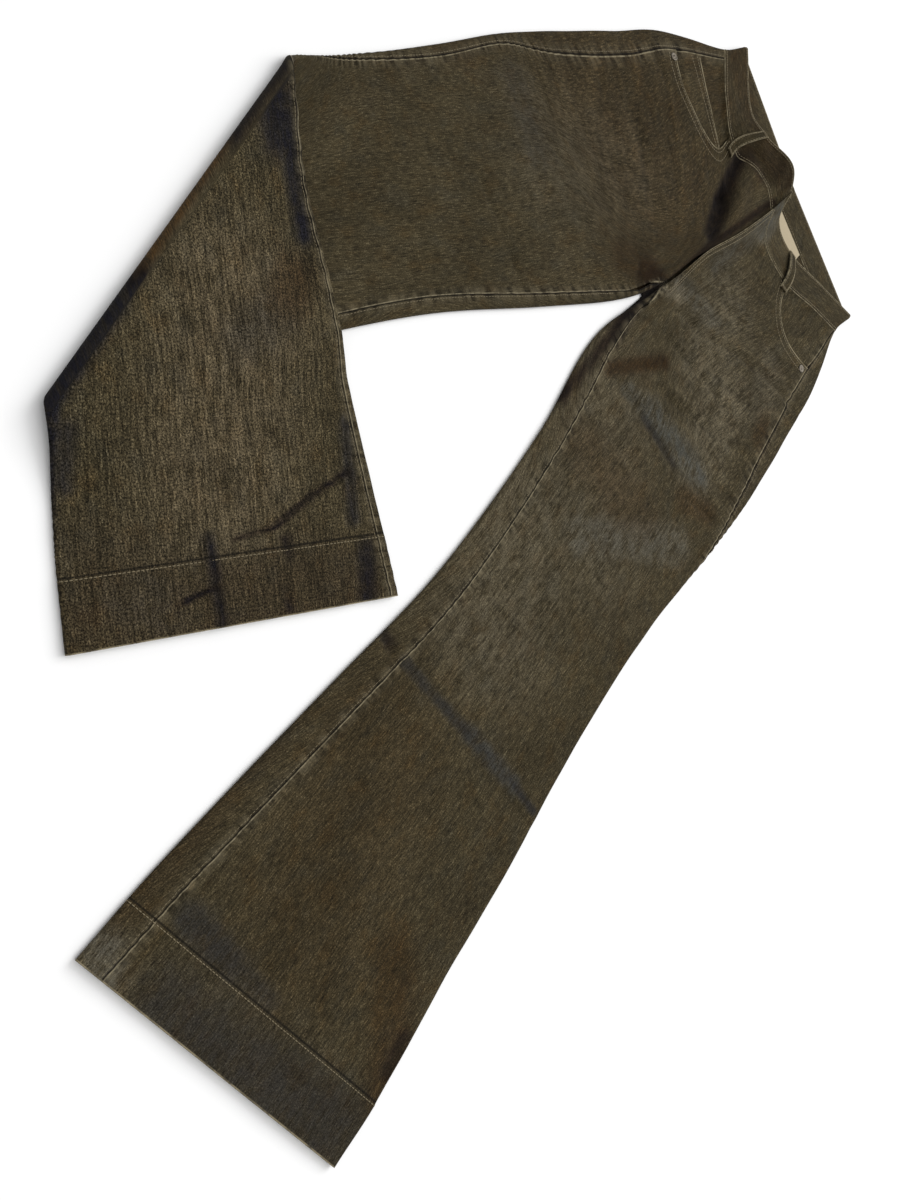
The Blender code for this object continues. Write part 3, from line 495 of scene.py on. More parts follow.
    def pick(self, u):
        """The rows that hold u, and u within them. Every u of one call is on the same side of the fold."""
        if self.lower is not None and u[0] > self.fold + self.bend / 2:
            return self.lower, np.maximum(u, self.fold + self.bend)
        return self.upper, np.minimum(u, self.fold)

    def seams(self, u, gap):
        """The q of the inseam and of the outseam at each u, moved a length of cloth towards the front."""
        inner = np.empty(len(u))
        outer = np.empty(len(u))
        for index, value in enumerate(u):
            one = np.array([value])
            rows, at = self.pick(one)
            insets = rows.at(at)[3] + gap
            outer[index] = self.inset_to_q(insets[:, 1], one, True)[0]
            inner[index] = self.inseam(value, insets[0, 0], gap)
        return inner, outer

    def rise_roll(self, u):
        """How far an edge of the rise has turned down towards the crotch, as a share of half a roll."""
        start = self.place["low hip"]
        way = np.clip((u - start) / (self.place["crotch"] - start), 0.0, 1.0)
        return np.minimum(np.arcsin(way**2) / math.pi, 0.5 - CROTCH_GAP_SHARE)

    def inseam(self, u, inset, gap):
        """The front's inner edge: open along the rise, down at the crotch, then up on the thigh."""
        crotch = self.place["crotch"]
        if u <= crotch:
            return -self.rise_roll(u)
        radius = self.upper.at(np.array([u]))[2][0, 0]
        climb = min((u - crotch) / (CLIMB_SHARE * (self.place["thigh"] - crotch)), 1.0)
        rolled = -0.5 * (1.0 - climb) + gap / (math.pi * radius)
        if climb < 1.0:
            return rolled
        return max(self.inset_to_q(np.array([inset]), np.array([u]), False)[0], rolled)


# How the cloth stands out of the smooth skin
PUCKER_PITCH = 0.0135
PUCKER_HEIGHT = 0.0007
PUCKER_REACH = 0.0075
SEAM_STEP = 0.0003
SEAM_STEP_REACH = 0.007
SEAMS_EASE_IN = 0.04
INSEAM_EASE_IN = 0.05
HEM_STEP = 0.0007
HEM_STEP_WIDTH = 0.004
UNEVEN = 0.0007
UNEVEN_EASE_IN = 0.08
ON_FLOOR = 0.0012

# Layers that lie uppermost: the thigh of the folded leg, its flipped lower half, and the straight leg
THIGH, CALF, STRAIGHT = 0, 1, 2

# Creases: layer, x and y of both ends, sideways bow, half width, then the height of the ridge and of the
# step across it
CREASE_COLUMNS = ("layer", "x", "y", "to x", "to y", "bow", "half width", "ridge", "step")
CREASES = (
    (THIGH, -0.375, 0.319, -0.324, 0.282, 0.002, 0.009, -0.0058, 0.0016),
    (THIGH, -0.324, 0.282, -0.272, 0.243, 0.002, 0.008, -0.0046, 0.0014),
    (THIGH, -0.359, 0.334, -0.303, 0.284, 0.002, 0.009, 0.0024, 0),
    (THIGH, -0.382, 0.334, -0.35, 0.356, 0.001, 0.006, -0.0022, 0.0008),
    (THIGH, -0.388, 0.352, -0.372, 0.366, 0.001, 0.006, -0.0018, 0.0006),
    (THIGH, -0.295, -0.072, -0.195, -0.036, 0.004, 0.004, -0.0012, 0.001),
    (THIGH, -0.405, -0.014, -0.33, 0.004, 0.004, 0.012, -0.0013, 0.0005),
    (THIGH, -0.43, 0.108, -0.385, 0.112, 0.002, 0.007, -0.001, 0.0004),
    (THIGH, -0.405, 0.142, -0.285, 0.168, 0.008, 0.011, -0.0018, 0.0008),
    (THIGH, -0.338, 0.06, -0.3, 0.082, 0.003, 0.009, -0.0014, 0.0005),
    (THIGH, -0.47, 0.196, -0.436, 0.212, 0.002, 0.007, -0.0013, 0.0006),
    (THIGH, -0.32, 0.115, -0.255, 0.128, 0.006, 0.01, -0.0012, 0.0005),
    (THIGH, -0.3, -0.02, -0.23, 0.01, -0.006, 0.016, 0.0012, 0),
    (THIGH, -0.27, 0.18, -0.235, 0.12, 0.004, 0.008, 0.0016, 0.0008),
    (THIGH, -0.42, 0.03, -0.35, 0.05, 0.004, 0.018, 0.0012, 0),
    (CALF, 0.02, -0.387, 0.092, -0.388, 0.002, 0.0045, 0.0026, 0.0026),
    (CALF, 0.063, -0.404, 0.054, -0.376, 0.002, 0.004, -0.003, 0.002),
    (CALF, 0.02, -0.316, 0.092, -0.33, 0.001, 0.004, -0.002, 0.0022),
    (CALF, 0, -0.263, 0.086, -0.251, 0.002, 0.01, -0.0018, 0.0008),
    (CALF, -0.026, -0.254, -0.008, -0.29, 0.002, 0.004, -0.003, 0.003),
    (CALF, -0.008, -0.29, 0.02, -0.338, -0.002, 0.0045, -0.0028, 0.0028),
    (CALF, -0.345, -0.284, -0.23, -0.272, 0.003, 0.012, -0.0016, 0),
    (CALF, -0.18, -0.33, -0.09, -0.345, 0.006, 0.025, 0.0016, 0),
    (CALF, -0.08, -0.44, 0.01, -0.455, 0.004, 0.018, 0.0012, 0),
    (STRAIGHT, 0.259, -0.214, 0.364, -0.346, 0.004, 0.006, -0.0012, 0.001),
    (STRAIGHT, 0.364, -0.346, 0.394, -0.372, 0, 0.006, -0.0012, 0.001),
    (STRAIGHT, 0.139, -0.222, 0.236, -0.156, 0.006, 0.011, -0.0014, 0.0009),
    (STRAIGHT, 0.236, -0.156, 0.298, -0.11, -0.002, 0.008, -0.0012, 0.0007),
    (STRAIGHT, -0.04, -0.024, 0.014, 0.018, 0.003, 0.007, -0.001, 0.0006),
    (STRAIGHT, -0.194, 0.188, -0.146, 0.212, 0.004, 0.007, -0.001, 0.001),
    (STRAIGHT, -0.212, 0.21, -0.19, 0.268, 0.003, 0.007, -0.0012, 0.0008),
    (STRAIGHT, -0.189, 0.179, -0.151, 0.266, -0.004, 0.006, -0.0018, 0.0018),
    (STRAIGHT, -0.151, 0.266, -0.088, 0.375, 0.003, 0.006, -0.0018, 0.0018),
    (STRAIGHT, -0.154, 0.162, -0.089, 0.24, 0.003, 0.0055, -0.0016, 0.0018),
    (STRAIGHT, -0.139, 0.182, -0.112, 0.262, 0.003, 0.005, -0.0012, 0.0012),
    (STRAIGHT, -0.101, 0.143, -0.039, 0.263, -0.003, 0.006, -0.0024, 0.0022),
    (STRAIGHT, -0.103, 0.083, -0.022, 0.147, 0.004, 0.006, -0.0013, 0.0012),
    (STRAIGHT, 0.004, 0.15, 0.037, 0.199, 0.002, 0.005, -0.0018, 0.0014),
    (STRAIGHT, -0.098, 0.024, -0.016, 0.09, 0.003, 0.006, -0.0008, 0.0008),
    (STRAIGHT, -0.044, -0.012, 0.007, 0.035, 0.001, 0.0032, 0.0009, 0.0004),
    (STRAIGHT, -0.176, 0.318, -0.092, 0.382, 0.004, 0.007, -0.001, 0.0006),
    (STRAIGHT, -0.137, 0.072, -0.12, 0.14, 0.002, 0.006, -0.0012, 0.0008),
    (STRAIGHT, 0.1, -0.245, 0.128, -0.232, 0.001, 0.005, -0.003, 0.0018),
    (STRAIGHT, 0.44, -0.27, 0.466, -0.29, 0.001, 0.006, -0.0026, 0.0014),
    (STRAIGHT, -0.185, 0.29, -0.16, 0.23, 0.002, 0.006, -0.0014, 0.0007),
)


def pucker(distance, u, start):
    """Ripples along a seam: a wave down the leg whose pitch wanders, dying away from the seam."""
    phase = 2 * math.pi * u / PUCKER_PITCH + 1.6 * np.sin(u * 41.0 + start) + 1.1 * np.sin(u * 97.0 - start)
    strength = 0.55 + 0.45 * np.sin(u * 23.0 + 2.0 * start)
    return PUCKER_HEIGHT * strength * (1.0 + np.sin(phase)) * np.exp(-(distance / PUCKER_REACH)**2)


# Plane waves of 4 to 15 cm: radians to a metre along x and along y, phase and share
WAVES = ((61, 23, 0.7, 1.0), (-34, 71, 2.1, 0.8), (97, -58, 4.0, 0.6), (37, 118, 1.2, 0.5),
         (151, 20, 3.3, 0.4))


def waves(points):
    """Gentle unevenness: plane waves in different directions, added up and kept between -1 and 1."""
    x = points[:, 0]
    y = points[:, 1]
    total = sum(share * np.sin(by_x * x + by_y * y + phase) for by_x, by_y, phase, share in WAVES)
    return total / sum(row[-1] for row in WAVES)


def along_and_across(start, stop, bow, points):
    """Share of the way from start to stop, and the signed distance from the bowed line between them."""
    start = np.array(start)
    line = np.array(stop) - start
    length = np.hypot(*line)
    line = line / length
    away = points[:, :2] - start
    way = away @ line / length
    inside = np.clip(way, 0.0, 1.0)
    across = away @ np.array([-line[1], line[0]]) - bow * 4 * inside * (1 - inside)
    return way, across, length


def crease_height(layer, points):
    """Sum of the creases: each a bell across its line and a step, high on one side and low on the other.

    Both are full over the middle 84 hundredths of the line and fade out beyond them.
    """
    total = np.zeros(len(points))
    for row in CREASES:
        crease = dict(zip(CREASE_COLUMNS, row))
        way, across, length = along_and_across(
            (crease["x"], crease["y"]), (crease["to x"], crease["to y"]), crease["bow"], points)
        beyond = np.maximum(np.abs(way - 0.5) - 0.42, 0.0) * length
        reach = crease["half width"]
        fade = np.exp(-(beyond / (0.10 * length + reach))**2)
        side = across / reach
        bell = np.exp(-side**2)
        shape = crease["ridge"] * bell + crease["step"] * side * bell * 1.6
        total += np.where(layer == crease["layer"], shape * fade, 0.0)
    return total


# A distance that stands for no seam and no edge near, in millimetres
NOWHERE = 60.0

# How coarse the weave looks on each layer, and on the waistband and the loops
COARSE = (0.20, 1.0, 0.42)
BAND_COARSE = 0.30

# Places where the denim's colour departs from its own, and where shade is painted on it: layer, x and y of
# both ends, half width, then how much it is faded pale, turned blue grey, turned brown and darkened with
# painted shade. Each is full up to near its half width, and the larger TONE_EDGE, the sooner it is gone
# beyond that.
TONE_EDGE = 3.2
TONE_REACH = 1.1
TONE_COLUMNS = ("layer", "x", "y", "to x", "to y", "half width", "pale", "blue", "brown_and_shade", "painted_shade")
TONES = (
    (THIGH, -0.33, 0.03, -0.33, 0.12, 0.06, 0.1, 0.1, 0, 0),
    (THIGH, -0.43, 0.13, -0.31, 0.2, 0.11, 0, 0, 0.34, 0),
    (THIGH, -0.24, 0.11, -0.236, 0.125, 0.022, 0, 0, 0.55, 0.15),
    (THIGH, -0.225, 0.14, -0.21, 0.156, 0.018, 0, 0, 1, 0.5),
    (THIGH, -0.4, -0.012, -0.33, 0.005, 0.018, 0, 0.25, 0, 0.15),
    (THIGH, -0.45, -0.18, -0.42, -0.08, 0.02, 0, 0, 0.35, 0),
    # Painted shade round the rounded edge of the right leg's fold on the thigh, with a brown fringe at the
    # edge
    (THIGH, -0.366, -0.268, -0.29, -0.33, 0.009, 0, 0, 0.3, 0.8),
    (THIGH, -0.29, -0.33, -0.17, -0.421, 0.005, 0.3, 0, 0.95, 0),
    (THIGH, -0.17, -0.421, -0.08, -0.492, 0.013, 0, 0, 0, 0.95),
    # Painted shadow in the trough beside the fly, then along the fly's edge
    (THIGH, -0.372, 0.317, -0.341, 0.295, 0.008, 0, 0, 0.9, 0.9),
    (THIGH, -0.341, 0.295, -0.306, 0.268, 0.008, 0, 0, 0.9, 0.98),
    (THIGH, -0.306, 0.268, -0.272, 0.243, 0.008, 0, 0, 0.9, 0.9),
    (THIGH, -0.323, 0.355, -0.262, 0.238, 0.004, 0, 0, 0.9, 0.7),
    (THIGH, -0.262, 0.238, -0.214, 0.167, 0.005, 0, 0, 0.9, 0.7),
    # Painted shade on the waistband beside the belt loop
    (THIGH, -0.379, 0.326, -0.352, 0.346, 0.009, 0, 0, 0.5, 0.45),
    (THIGH, -0.381, 0.356, -0.352, 0.378, 0.016, 0, 0, 0.5, 0.35),
    (THIGH, -0.505, 0.35, -0.385, 0.358, 0.024, 0, 0, 0.5, 0.05),
    (THIGH, -0.49, 0.27, -0.44, 0.3, 0.03, 0, 0, 0.4, 0),
    (THIGH, -0.362, 0.262, -0.33, 0.236, 0.01, 0, 0, 0.45, 0.1),
    # Painted shade along the calf's outer edge and round the fold
    (CALF, -0.345, -0.287, -0.29, -0.285, 0.017, 0, 0.2, 0, 0.92),
    (CALF, -0.292, -0.28, -0.215, -0.275, 0.008, 0, 0.2, 0, 0.9),
    (CALF, -0.34, -0.292, -0.19, -0.406, 0.006, 0, 0, 0.7, 0.85),
    (CALF, -0.19, -0.408, -0.15, -0.438, 0.007, 0, 0.1, 0, 0.98),
    (CALF, -0.15, -0.438, -0.085, -0.488, 0.009, 0, 0.1, 0, 0.98),
    (CALF, -0.085, -0.49, 0.03, -0.506, 0.006, 0, 0.15, 0, 0.92),
    (CALF, -0.06, -0.482, -0.02, -0.488, 0.007, 0, 0.1, 0, 0.6),
    (CALF, 0.065, -0.47, 0.065, -0.27, 0.036, 0, 0.05, 0.3, 0.2),
    # Painted shade along the calf's edge, then in the calf's creases
    (CALF, -0.068, -0.252, 0.015, -0.256, 0.006, 0, 0.25, 0, 0.65),
    (CALF, 0.039, -0.247, 0.08, -0.252, 0.009, 0, 0.25, 0, 0.8),
    (CALF, 0.024, -0.386, 0.092, -0.382, 0.006, 0, 0.15, 0, 0.95),
    (CALF, 0.068, -0.412, 0.058, -0.38, 0.0025, 0, 0, 0.6, 0.95),
    (CALF, 0.026, -0.322, 0.082, -0.324, 0.003, 0, 0, 0.5, 0.85),
    (CALF, -0.026, -0.254, -0.008, -0.29, 0.0021, 0, 0, 0.6, 0.9),
    (CALF, -0.008, -0.29, 0.018, -0.331, 0.0021, 0, 0, 0.6, 0.9),
    (CALF, 0.018, -0.331, 0.024, -0.367, 0.0018, 0, 0, 0.6, 0.75),
    (CALF, 0.06, -0.455, 0.072, -0.425, 0.02, 0, 0.3, 0, 0.1),
    (CALF, -0.16, -0.34, -0.02, -0.37, 0.06, 0.2, 0, 0.2, 0),
    (CALF, -0.18, -0.29, -0.16, -0.3, 0.02, 0, 0, 0.6, 0.2),
    (CALF, -0.15, -0.31, -0.13, -0.34, 0.018, 0, 0.3, 0, 0.2),
    (CALF, 0.03, -0.47, 0.1, -0.27, 0.03, 0, 0.05, 0.15, 0.18),
    (STRAIGHT, -0.312, 0.352, -0.285, 0.322, 0.013, 0.6, 0.8, 0, 0),
    (STRAIGHT, -0.285, 0.322, -0.24, 0.24, 0.01, 0.1, 0.35, 0, 0.1),
    (STRAIGHT, -0.219, 0.182, -0.175, 0.237, 0.012, 0.1, 0.4, 0, 0),
    (STRAIGHT, -0.101, 0.091, -0.078, 0.121, 0.009, 0.1, 0.6, 0, 0),
    (STRAIGHT, -0.078, 0.121, -0.01, 0.185, 0.016, 0.15, 0.75, 0, 0),
    (STRAIGHT, -0.072, 0.11, -0.022, 0.147, 0.004, 0, 0.2, 0, 0.5),
    (STRAIGHT, 0.043, -0.001, 0.062, 0.134, 0.02, 0.3, 0.45, 0, 0),
    (STRAIGHT, -0.123, 0.067, -0.131, 0.147, 0.008, 0, 0, 0.85, 0.3),
    (STRAIGHT, -0.064, 0.309, -0.05, 0.3, 0.014, 0, 0, 0.6, 0),
    (STRAIGHT, 0.015, 0.16, 0.03, 0.19, 0.014, 0, 0, 0.6, 0.05),
    (STRAIGHT, -0.04, 0.02, 0.02, 0.08, 0.03, 0.1, 0, 0.35, 0),
    # Painted shade along the straight leg's inner edge below the crotch
    (STRAIGHT, -0.2, 0.124, -0.152, 0.077, 0.008, 0, 0, 0.9, 0.9),
    (STRAIGHT, -0.158, 0.08, -0.091, -0.004, 0.005, 0, 0, 0.8, 0.8),
    (STRAIGHT, -0.222, 0.15, -0.205, 0.182, 0.012, 0.6, 0.1, 0, 0),
    (STRAIGHT, -0.1, 0.06, 0.05, 0.02, 0.07, 0.15, 0.05, 0, 0),
    (STRAIGHT, -0.19, 0.25, -0.12, 0.215, 0.05, 0.22, 0.05, 0, 0),
    (STRAIGHT, -0.095, 0.25, -0.02, 0.18, 0.036, 0.28, 0.05, 0, 0),
    (STRAIGHT, -0.13, 0.33, -0.09, 0.31, 0.026, 0.18, 0.1, 0, 0),
    (STRAIGHT, 0.02, -0.06, 0.12, -0.12, 0.065, 0.2, 0.05, 0, 0),
    # Painted shade with blue grey along creases and by the hem of the straight leg
    (STRAIGHT, 0.137, -0.222, 0.208, -0.166, 0.005, 0, 0.6, 0, 0.5),
    (STRAIGHT, 0.208, -0.164, 0.262, -0.122, 0.008, 0, 0.7, 0, 0.35),
    (STRAIGHT, 0.262, -0.122, 0.291, -0.102, 0.004, 0, 0.4, 0, 0.6),
    (STRAIGHT, 0.296, -0.435, 0.339, -0.406, 0.012, 0, 0.5, 0, 0.5),
    (STRAIGHT, 0.339, -0.406, 0.372, -0.382, 0.008, 0, 0.4, 0, 0.3),
    (STRAIGHT, 0.36, -0.46, 0.48, -0.35, 0.034, 0, 0.3, 0, 0.45),
    (STRAIGHT, 0.368, -0.268, 0.48, -0.29, 0.022, 0, 0, 0.6, 0),
    (STRAIGHT, 0.3, -0.5, 0.315, -0.5, 0.014, 0.35, 0.5, 0, 0),
    (STRAIGHT, 0.15, -0.33, 0.27, -0.48, 0.02, 0, 0, 0.35, 0.1),
    (STRAIGHT, 0.2, -0.26, 0.33, -0.34, 0.07, 0, 0, 0.25, 0),
    # Painted shade in two short creases of the straight leg
    (STRAIGHT, 0.44, -0.268, 0.462, -0.288, 0.007, 0, 0, 0, 0.6),
    (STRAIGHT, 0.105, -0.243, 0.12, -0.235, 0.006, 0, 0, 0, 0.6),
)


def cloth_tones(half, u, points):
    """Pale, blue, brown and painted shade amounts at each point: soft spots round lines."""
    layer = half.layer(u)
    total = np.zeros((len(points), 4))
    for row in TONES:
        tone = dict(zip(TONE_COLUMNS, row))
        start = (tone["x"], tone["y"])
        way, across, length = along_and_across(start, (tone["to x"], tone["to y"]), 0.0, points)
        beyond = np.maximum(np.abs(way - 0.5) - 0.5, 0.0) * length
        near = np.exp(-(np.hypot(across, beyond) / (TONE_REACH * tone["half width"]))**TONE_EDGE)
        near = np.where(layer == tone["layer"], near, 0.0)
        amounts = np.array([tone[name] for name in TONE_COLUMNS[6:]])
        total = np.maximum(total, near[:, None] * amounts)
    return np.clip(total, 0.0, 1.0)


def cloth_lines(half, u, q, edge):
    """Millimetres of cloth to the nearest seam, less than nothing on its front side, to the nearest finished
    edge, and past the row of stitches that holds the hem; last, how coarse the weave looks."""
    outseam, inseam = half.from_seams(u, q)
    inseam = np.where(u > half.place["crotch"], inseam, NOWHERE / 1000)
    seam = np.where(np.abs(outseam) < np.abs(inseam), outseam, inseam)
    past_hem_row = u - (half.hem - HEM_DEPTH + HEM_ROW_FROM_EDGE)
    lines = np.column_stack([seam, edge, past_hem_row]) * 1000
    coarse = np.array(COARSE)[half.layer(u)]
    return np.column_stack([np.clip(lines, -NOWHERE, NOWHERE), coarse])


def set_attributes(mesh, uv, tones, lines):
    """Give a mesh its cloth coordinates in metres, its four tones and its lines, one of each a vertex."""
    corner = np.empty(len(mesh.loops), dtype=np.int32)
    mesh.loops.foreach_get("vertex_index", corner)
    layer = mesh.uv_layers.new(name="cloth")
    layer.data.foreach_set("uv", uv[corner].astype(np.float32).ravel())
    colour = mesh.color_attributes.new(name="tones", type="FLOAT_COLOR", domain="POINT")
    colour.data.foreach_set("color", tones.astype(np.float32).ravel())
    near = mesh.color_attributes.new(name="lines", type="FLOAT_COLOR", domain="POINT")
    near.data.foreach_set("color", lines.astype(np.float32).ravel())


def add_mesh(name, points, faces, finish):
    """Put a finished mesh in the scene, riding on the jeans."""
    mesh = bpy.data.meshes.new(name)
    mesh.from_pydata(points.tolist(), [], faces)
    mesh.shade_smooth()
    mesh.materials.append(FINISH[finish])
    piece = bpy.data.objects.new(name, mesh)
    bpy.context.scene.collection.objects.link(piece)
    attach(piece, "root")
    return piece


def wall_faces(rows, columns, ring, turn):
    """Faces of a wall between an outer and an inner grid, closed round its rim."""
    index = np.arange(rows * columns).reshape(rows, columns)
    if ring:
        index = np.column_stack([index, index[:, :1]])
    inside = index + rows * columns

    def quads(grid):
        corners = [grid[:-1, :-1], grid[1:, :-1], grid[1:, 1:], grid[:-1, 1:]]
        return np.stack(corners, axis=-1).reshape(-1, 4)

    def rim(edge, edge_inside):
        return np.stack([edge[:-1], edge[1:], edge_inside[1:], edge_inside[:-1]], axis=-1)

    other_way = [0, 3, 2, 1]
    faces = [quads(index), quads(inside)[:, other_way]]
    faces += [rim(index[0], inside[0]), rim(index[-1], inside[-1])[:, other_way]]
    if not ring:
        faces += [rim(index[:, -1], inside[:, -1]), rim(index[:, 0], inside[:, 0])[:, other_way]]
    faces = np.vstack(faces)
    return faces[:, other_way] if turn < 0 else faces


def add_wall(name, walls, uv, tones, lines, finish, turn, ring=False, node=None):
    """Put a wall of cloth in the scene, between two grids, in place of a solid where one is named."""
    points = np.vstack([wall.reshape(-1, 3) for wall in walls])
    faces = wall_faces(walls[0].shape[0], walls[0].shape[1], ring, turn)
    piece = add_mesh(name, points, faces.tolist(), finish)
    set_attributes(piece.data, *[np.vstack([values, values]) for values in (uv, tones, lines)])
    piece.data.set_sharp_from_angle(angle=math.radians(SHARP_ANGLE))
    if node:
        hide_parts(node)
    return piece


def far_lines(count):
    """Lines of cloth with no seam, edge or hem near, woven as on the waistband."""
    lines = np.full((count, 4), NOWHERE)
    lines[:, 3] = BAND_COARSE
    return lines


def cloth_piece(name, half, u, q, depth, thickness, finish, ring=False, edge=None):
    """A wall of cloth cut from a half's creased skin: outer grid at one depth, inner grid a thickness in.

    edge is the length of cloth from each point to the nearest finished edge, the hem where none is given.
    """
    u, q = np.broadcast_arrays(np.asarray(u, float), np.asarray(q, float))
    walls = half.walls(u, q, (depth, depth + thickness))
    flat_u = u.ravel()
    flat_q = q.ravel()
    outer = walls[0].reshape(-1, 3)
    to_edge = half.hem - flat_u if edge is None else edge.ravel()
    uv = half.grain(flat_u, flat_q, outer)
    tones = cloth_tones(half, flat_u, outer)
    lines = cloth_lines(half, flat_u, flat_q, to_edge)
    return add_wall(f"{name}_cloth", walls, uv, tones, lines, finish, half.turn, ring, name)


def from_path(half, u, q, path_u, path_q, within):
    """Length of cloth from each point of a grid to a path drawn on the skin; far points keep a large one."""
    fine = np.linspace(0.0, 1.0, 400)
    share = np.linspace(0.0, 1.0, len(path_u))
    path_u = np.interp(fine, share, path_u)
    path_q = np.interp(fine, share, path_q)
    path_x = half.across_length(path_u, path_q)
    x = half.across_length(u, q)
    found = np.full(u.shape, NOWHERE / 1000)
    near = u < path_u.max() + within
    gap = np.hypot(x[near][:, None] - path_x, u[near][:, None] - path_u)
    found[near] = gap.min(axis=1)
    return found


def lengths(half, start, stop):
    """Values of u from start to stop, closer through the knee's bend."""
    marks = sorted({start, stop} | {value for value in half.place.values() if start < value < stop})
    values = []
    for low, high in zip(marks[:-1], marks[1:]):
        step = half.bend / BEND_ROWS if half.bend and low == half.fold else ROW_SPACING
        count = max(1, round((high - low) / step))
        values += list(np.linspace(low, high, count, endpoint=False))
    return np.array(values + [stop])


def finer(values, times):
    """A rising series with more steps between each pair of its values."""
    index = np.arange(len(values))
    return np.interp(np.linspace(0, index[-1], times * index[-1] + 1), index, values)


def edge_bunched(count):
    """Shares from 0 to 1, evenly spaced but for two more close to each end."""
    return np.concatenate([[0.0, 0.004, 0.009], np.linspace(0.016, 0.984, count - 6), [0.991, 0.996, 1.0]])


def pocket_mouth(half, q, q_out):
    """Depth of the pocket mouth below the waist seam, a rounded scoop from its corner to the outseam.

    A parabola as deep as POCKET_SAG, a share of the scoop's depth, hangs its middle lower.
    """
    corner = POCKET_CORNER[half.side]
    way = np.clip((q - corner) / (q_out - corner), 0.0, 1.0)
    scoop = (1.0 - (1.0 - way)**POCKET_SQUARENESS)**(1.0 / POCKET_SQUARENESS)
    scoop += POCKET_SAG[half.side] * 4.0 * way * (1.0 - way)
    return (half.place["pocket end"] - half.place["waist seam"]) * scoop


def waist_columns(half, outer):
    """Ways across the front at the waist seam, bunched where the pocket's curve turns."""
    corner = POCKET_CORNER[half.side]
    before = np.linspace(0.0, 1.0, BEFORE_POCKET, endpoint=False) * corner
    return np.concatenate([before, corner + (outer - corner) * finer(POCKET_COLUMNS, POCKET_FINENESS)])


def front_lengths(half):
    """The u of the front's grid: its first row runs along the waist seam and round the pocket mouth."""
    top = half.place["waist seam"] + SEAM_GAP / 2
    u = lengths(half, top, half.hem)
    outer = half.seams(u[:1], SEAM_GAP / 2)[1][0]
    columns = waist_columns(half, outer)
    mouth = pocket_mouth(half, columns, outer)
    ease = np.clip(1.0 - (u - top) / (half.place["crotch"] - top), 0.0, 1.0)**2
    return u[:, None] + mouth[None, :] * ease[:, None], columns


def front(half):
    """The front panel: from the waist seam and the pocket mouth down to the hem."""
    u, at_waist = front_lengths(half)
    inner = half.seams(u[:, 0], SEAM_GAP / 2)[0]
    outer = half.seams(u[:, -1], SEAM_GAP / 2)[1]
    weights = np.array(FRONT_WEIGHTS)
    first = np.interp(inner, FRONT_COLUMNS, weights)
    last = np.interp(outer, FRONT_COLUMNS, weights)
    on_leg = edge_bunched(len(at_waist))
    leg_q = np.interp(first[:, None] + (last - first)[:, None] * on_leg, weights, FRONT_COLUMNS)
    corner = POCKET_CORNER[half.side]
    beyond = np.clip((at_waist - corner) / (at_waist[-1] - corner), 0.0, 1.0)
    seat_q = at_waist + (outer - at_waist[-1])[:, None] * beyond
    seat_q += inner[:, None] * (1.0 - at_waist / at_waist[-1])
    leg_share = smooth((u[:, :1] - u[0, 0]) / (half.place["crotch"] - u[0, 0]))
    q = seat_q * (1 - leg_share) + leg_q * leg_share
    mouth = at_waist > corner
    edge = np.minimum(half.hem - u, from_path(half, u, q, u[0, mouth], q[0, mouth], MOUTH_REACH))
    if half.side == "left":
        from_fly = (q - q[:, :1]) * half.width(u[:, :1])
        edge = np.where(u < half.place["crotch"], np.minimum(edge, from_fly), edge)
    return cloth_piece(f"front_{half.side}", half, u, q, 0.0, CLOTH, "denim", edge=edge)


def back(half):
    """The back panel: from the outseam round the outer edge, under the leg and up to the inseam."""
    along_front = front_lengths(half)[0][:, -1]
    top = half.place["waist seam"] + SEAM_GAP / 2
    above = np.linspace(top, along_front[0], ROWS_BESIDE_POCKET, endpoint=False)
    u = np.concatenate([above, along_front])
    inner, outer = half.seams(u, -SEAM_GAP / 2)
    end = np.where(u <= half.place["crotch"], 3.0 + half.rise_roll(u), 4.0 + inner)
    weights = np.arange(len(BACK_COLUMNS), dtype=float)
    first = np.interp(outer, BACK_COLUMNS, weights)
    last = np.interp(end, BACK_COLUMNS, weights)
    share = edge_bunched(BACK_COUNT)
    q = np.interp(first[:, None] + (last - first)[:, None] * share, weights, BACK_COLUMNS)
    return cloth_piece(f"back_{half.side}", half, u[:, None], q, 0.0, CLOTH, "denim")


def waistband(right, left):
    """One band from the fly round the right side, the back and the left side to the fly again."""
    grids = []
    for half in (right, left):
        seam = half.place["waist seam"]
        edge = half.seams(np.array([seam]), SEAM_GAP / 2)[1][0]
        columns = [waist_columns(half, edge), np.linspace(1.02, 1.98, 12), np.linspace(2.0, 3.0, 48)]
        q, u = np.meshgrid(np.concatenate(columns), np.linspace(0.0, seam - SEAM_GAP / 2, 16))
        outer, inner = half.walls(u, q, (0.0, BAND_CLOTH))
        uv = np.stack([half.across_length(u.ravel(), q.ravel()).reshape(u.shape), u], axis=2)
        tones = cloth_tones(half, u.ravel(), outer.reshape(-1, 3))
        lines = far_lines(u.size)
        lines[:, 1] = 1000 * np.minimum(u, seam - u).ravel()
        grids.append((outer, inner, uv, tones.reshape(u.shape + (4,)), lines.reshape(u.shape + (4,))))
    joined = [np.concatenate([part, other[:, -2::-1]], axis=1) for part, other in zip(*grids)]
    outer, inner, uv, tones, lines = joined
    return add_wall("waistband_cloth", (outer, inner), uv.reshape(-1, 2)[:, ::-1], tones.reshape(-1, 4),
                    lines.reshape(-1, 4), "denim", right.turn, node="waistband")


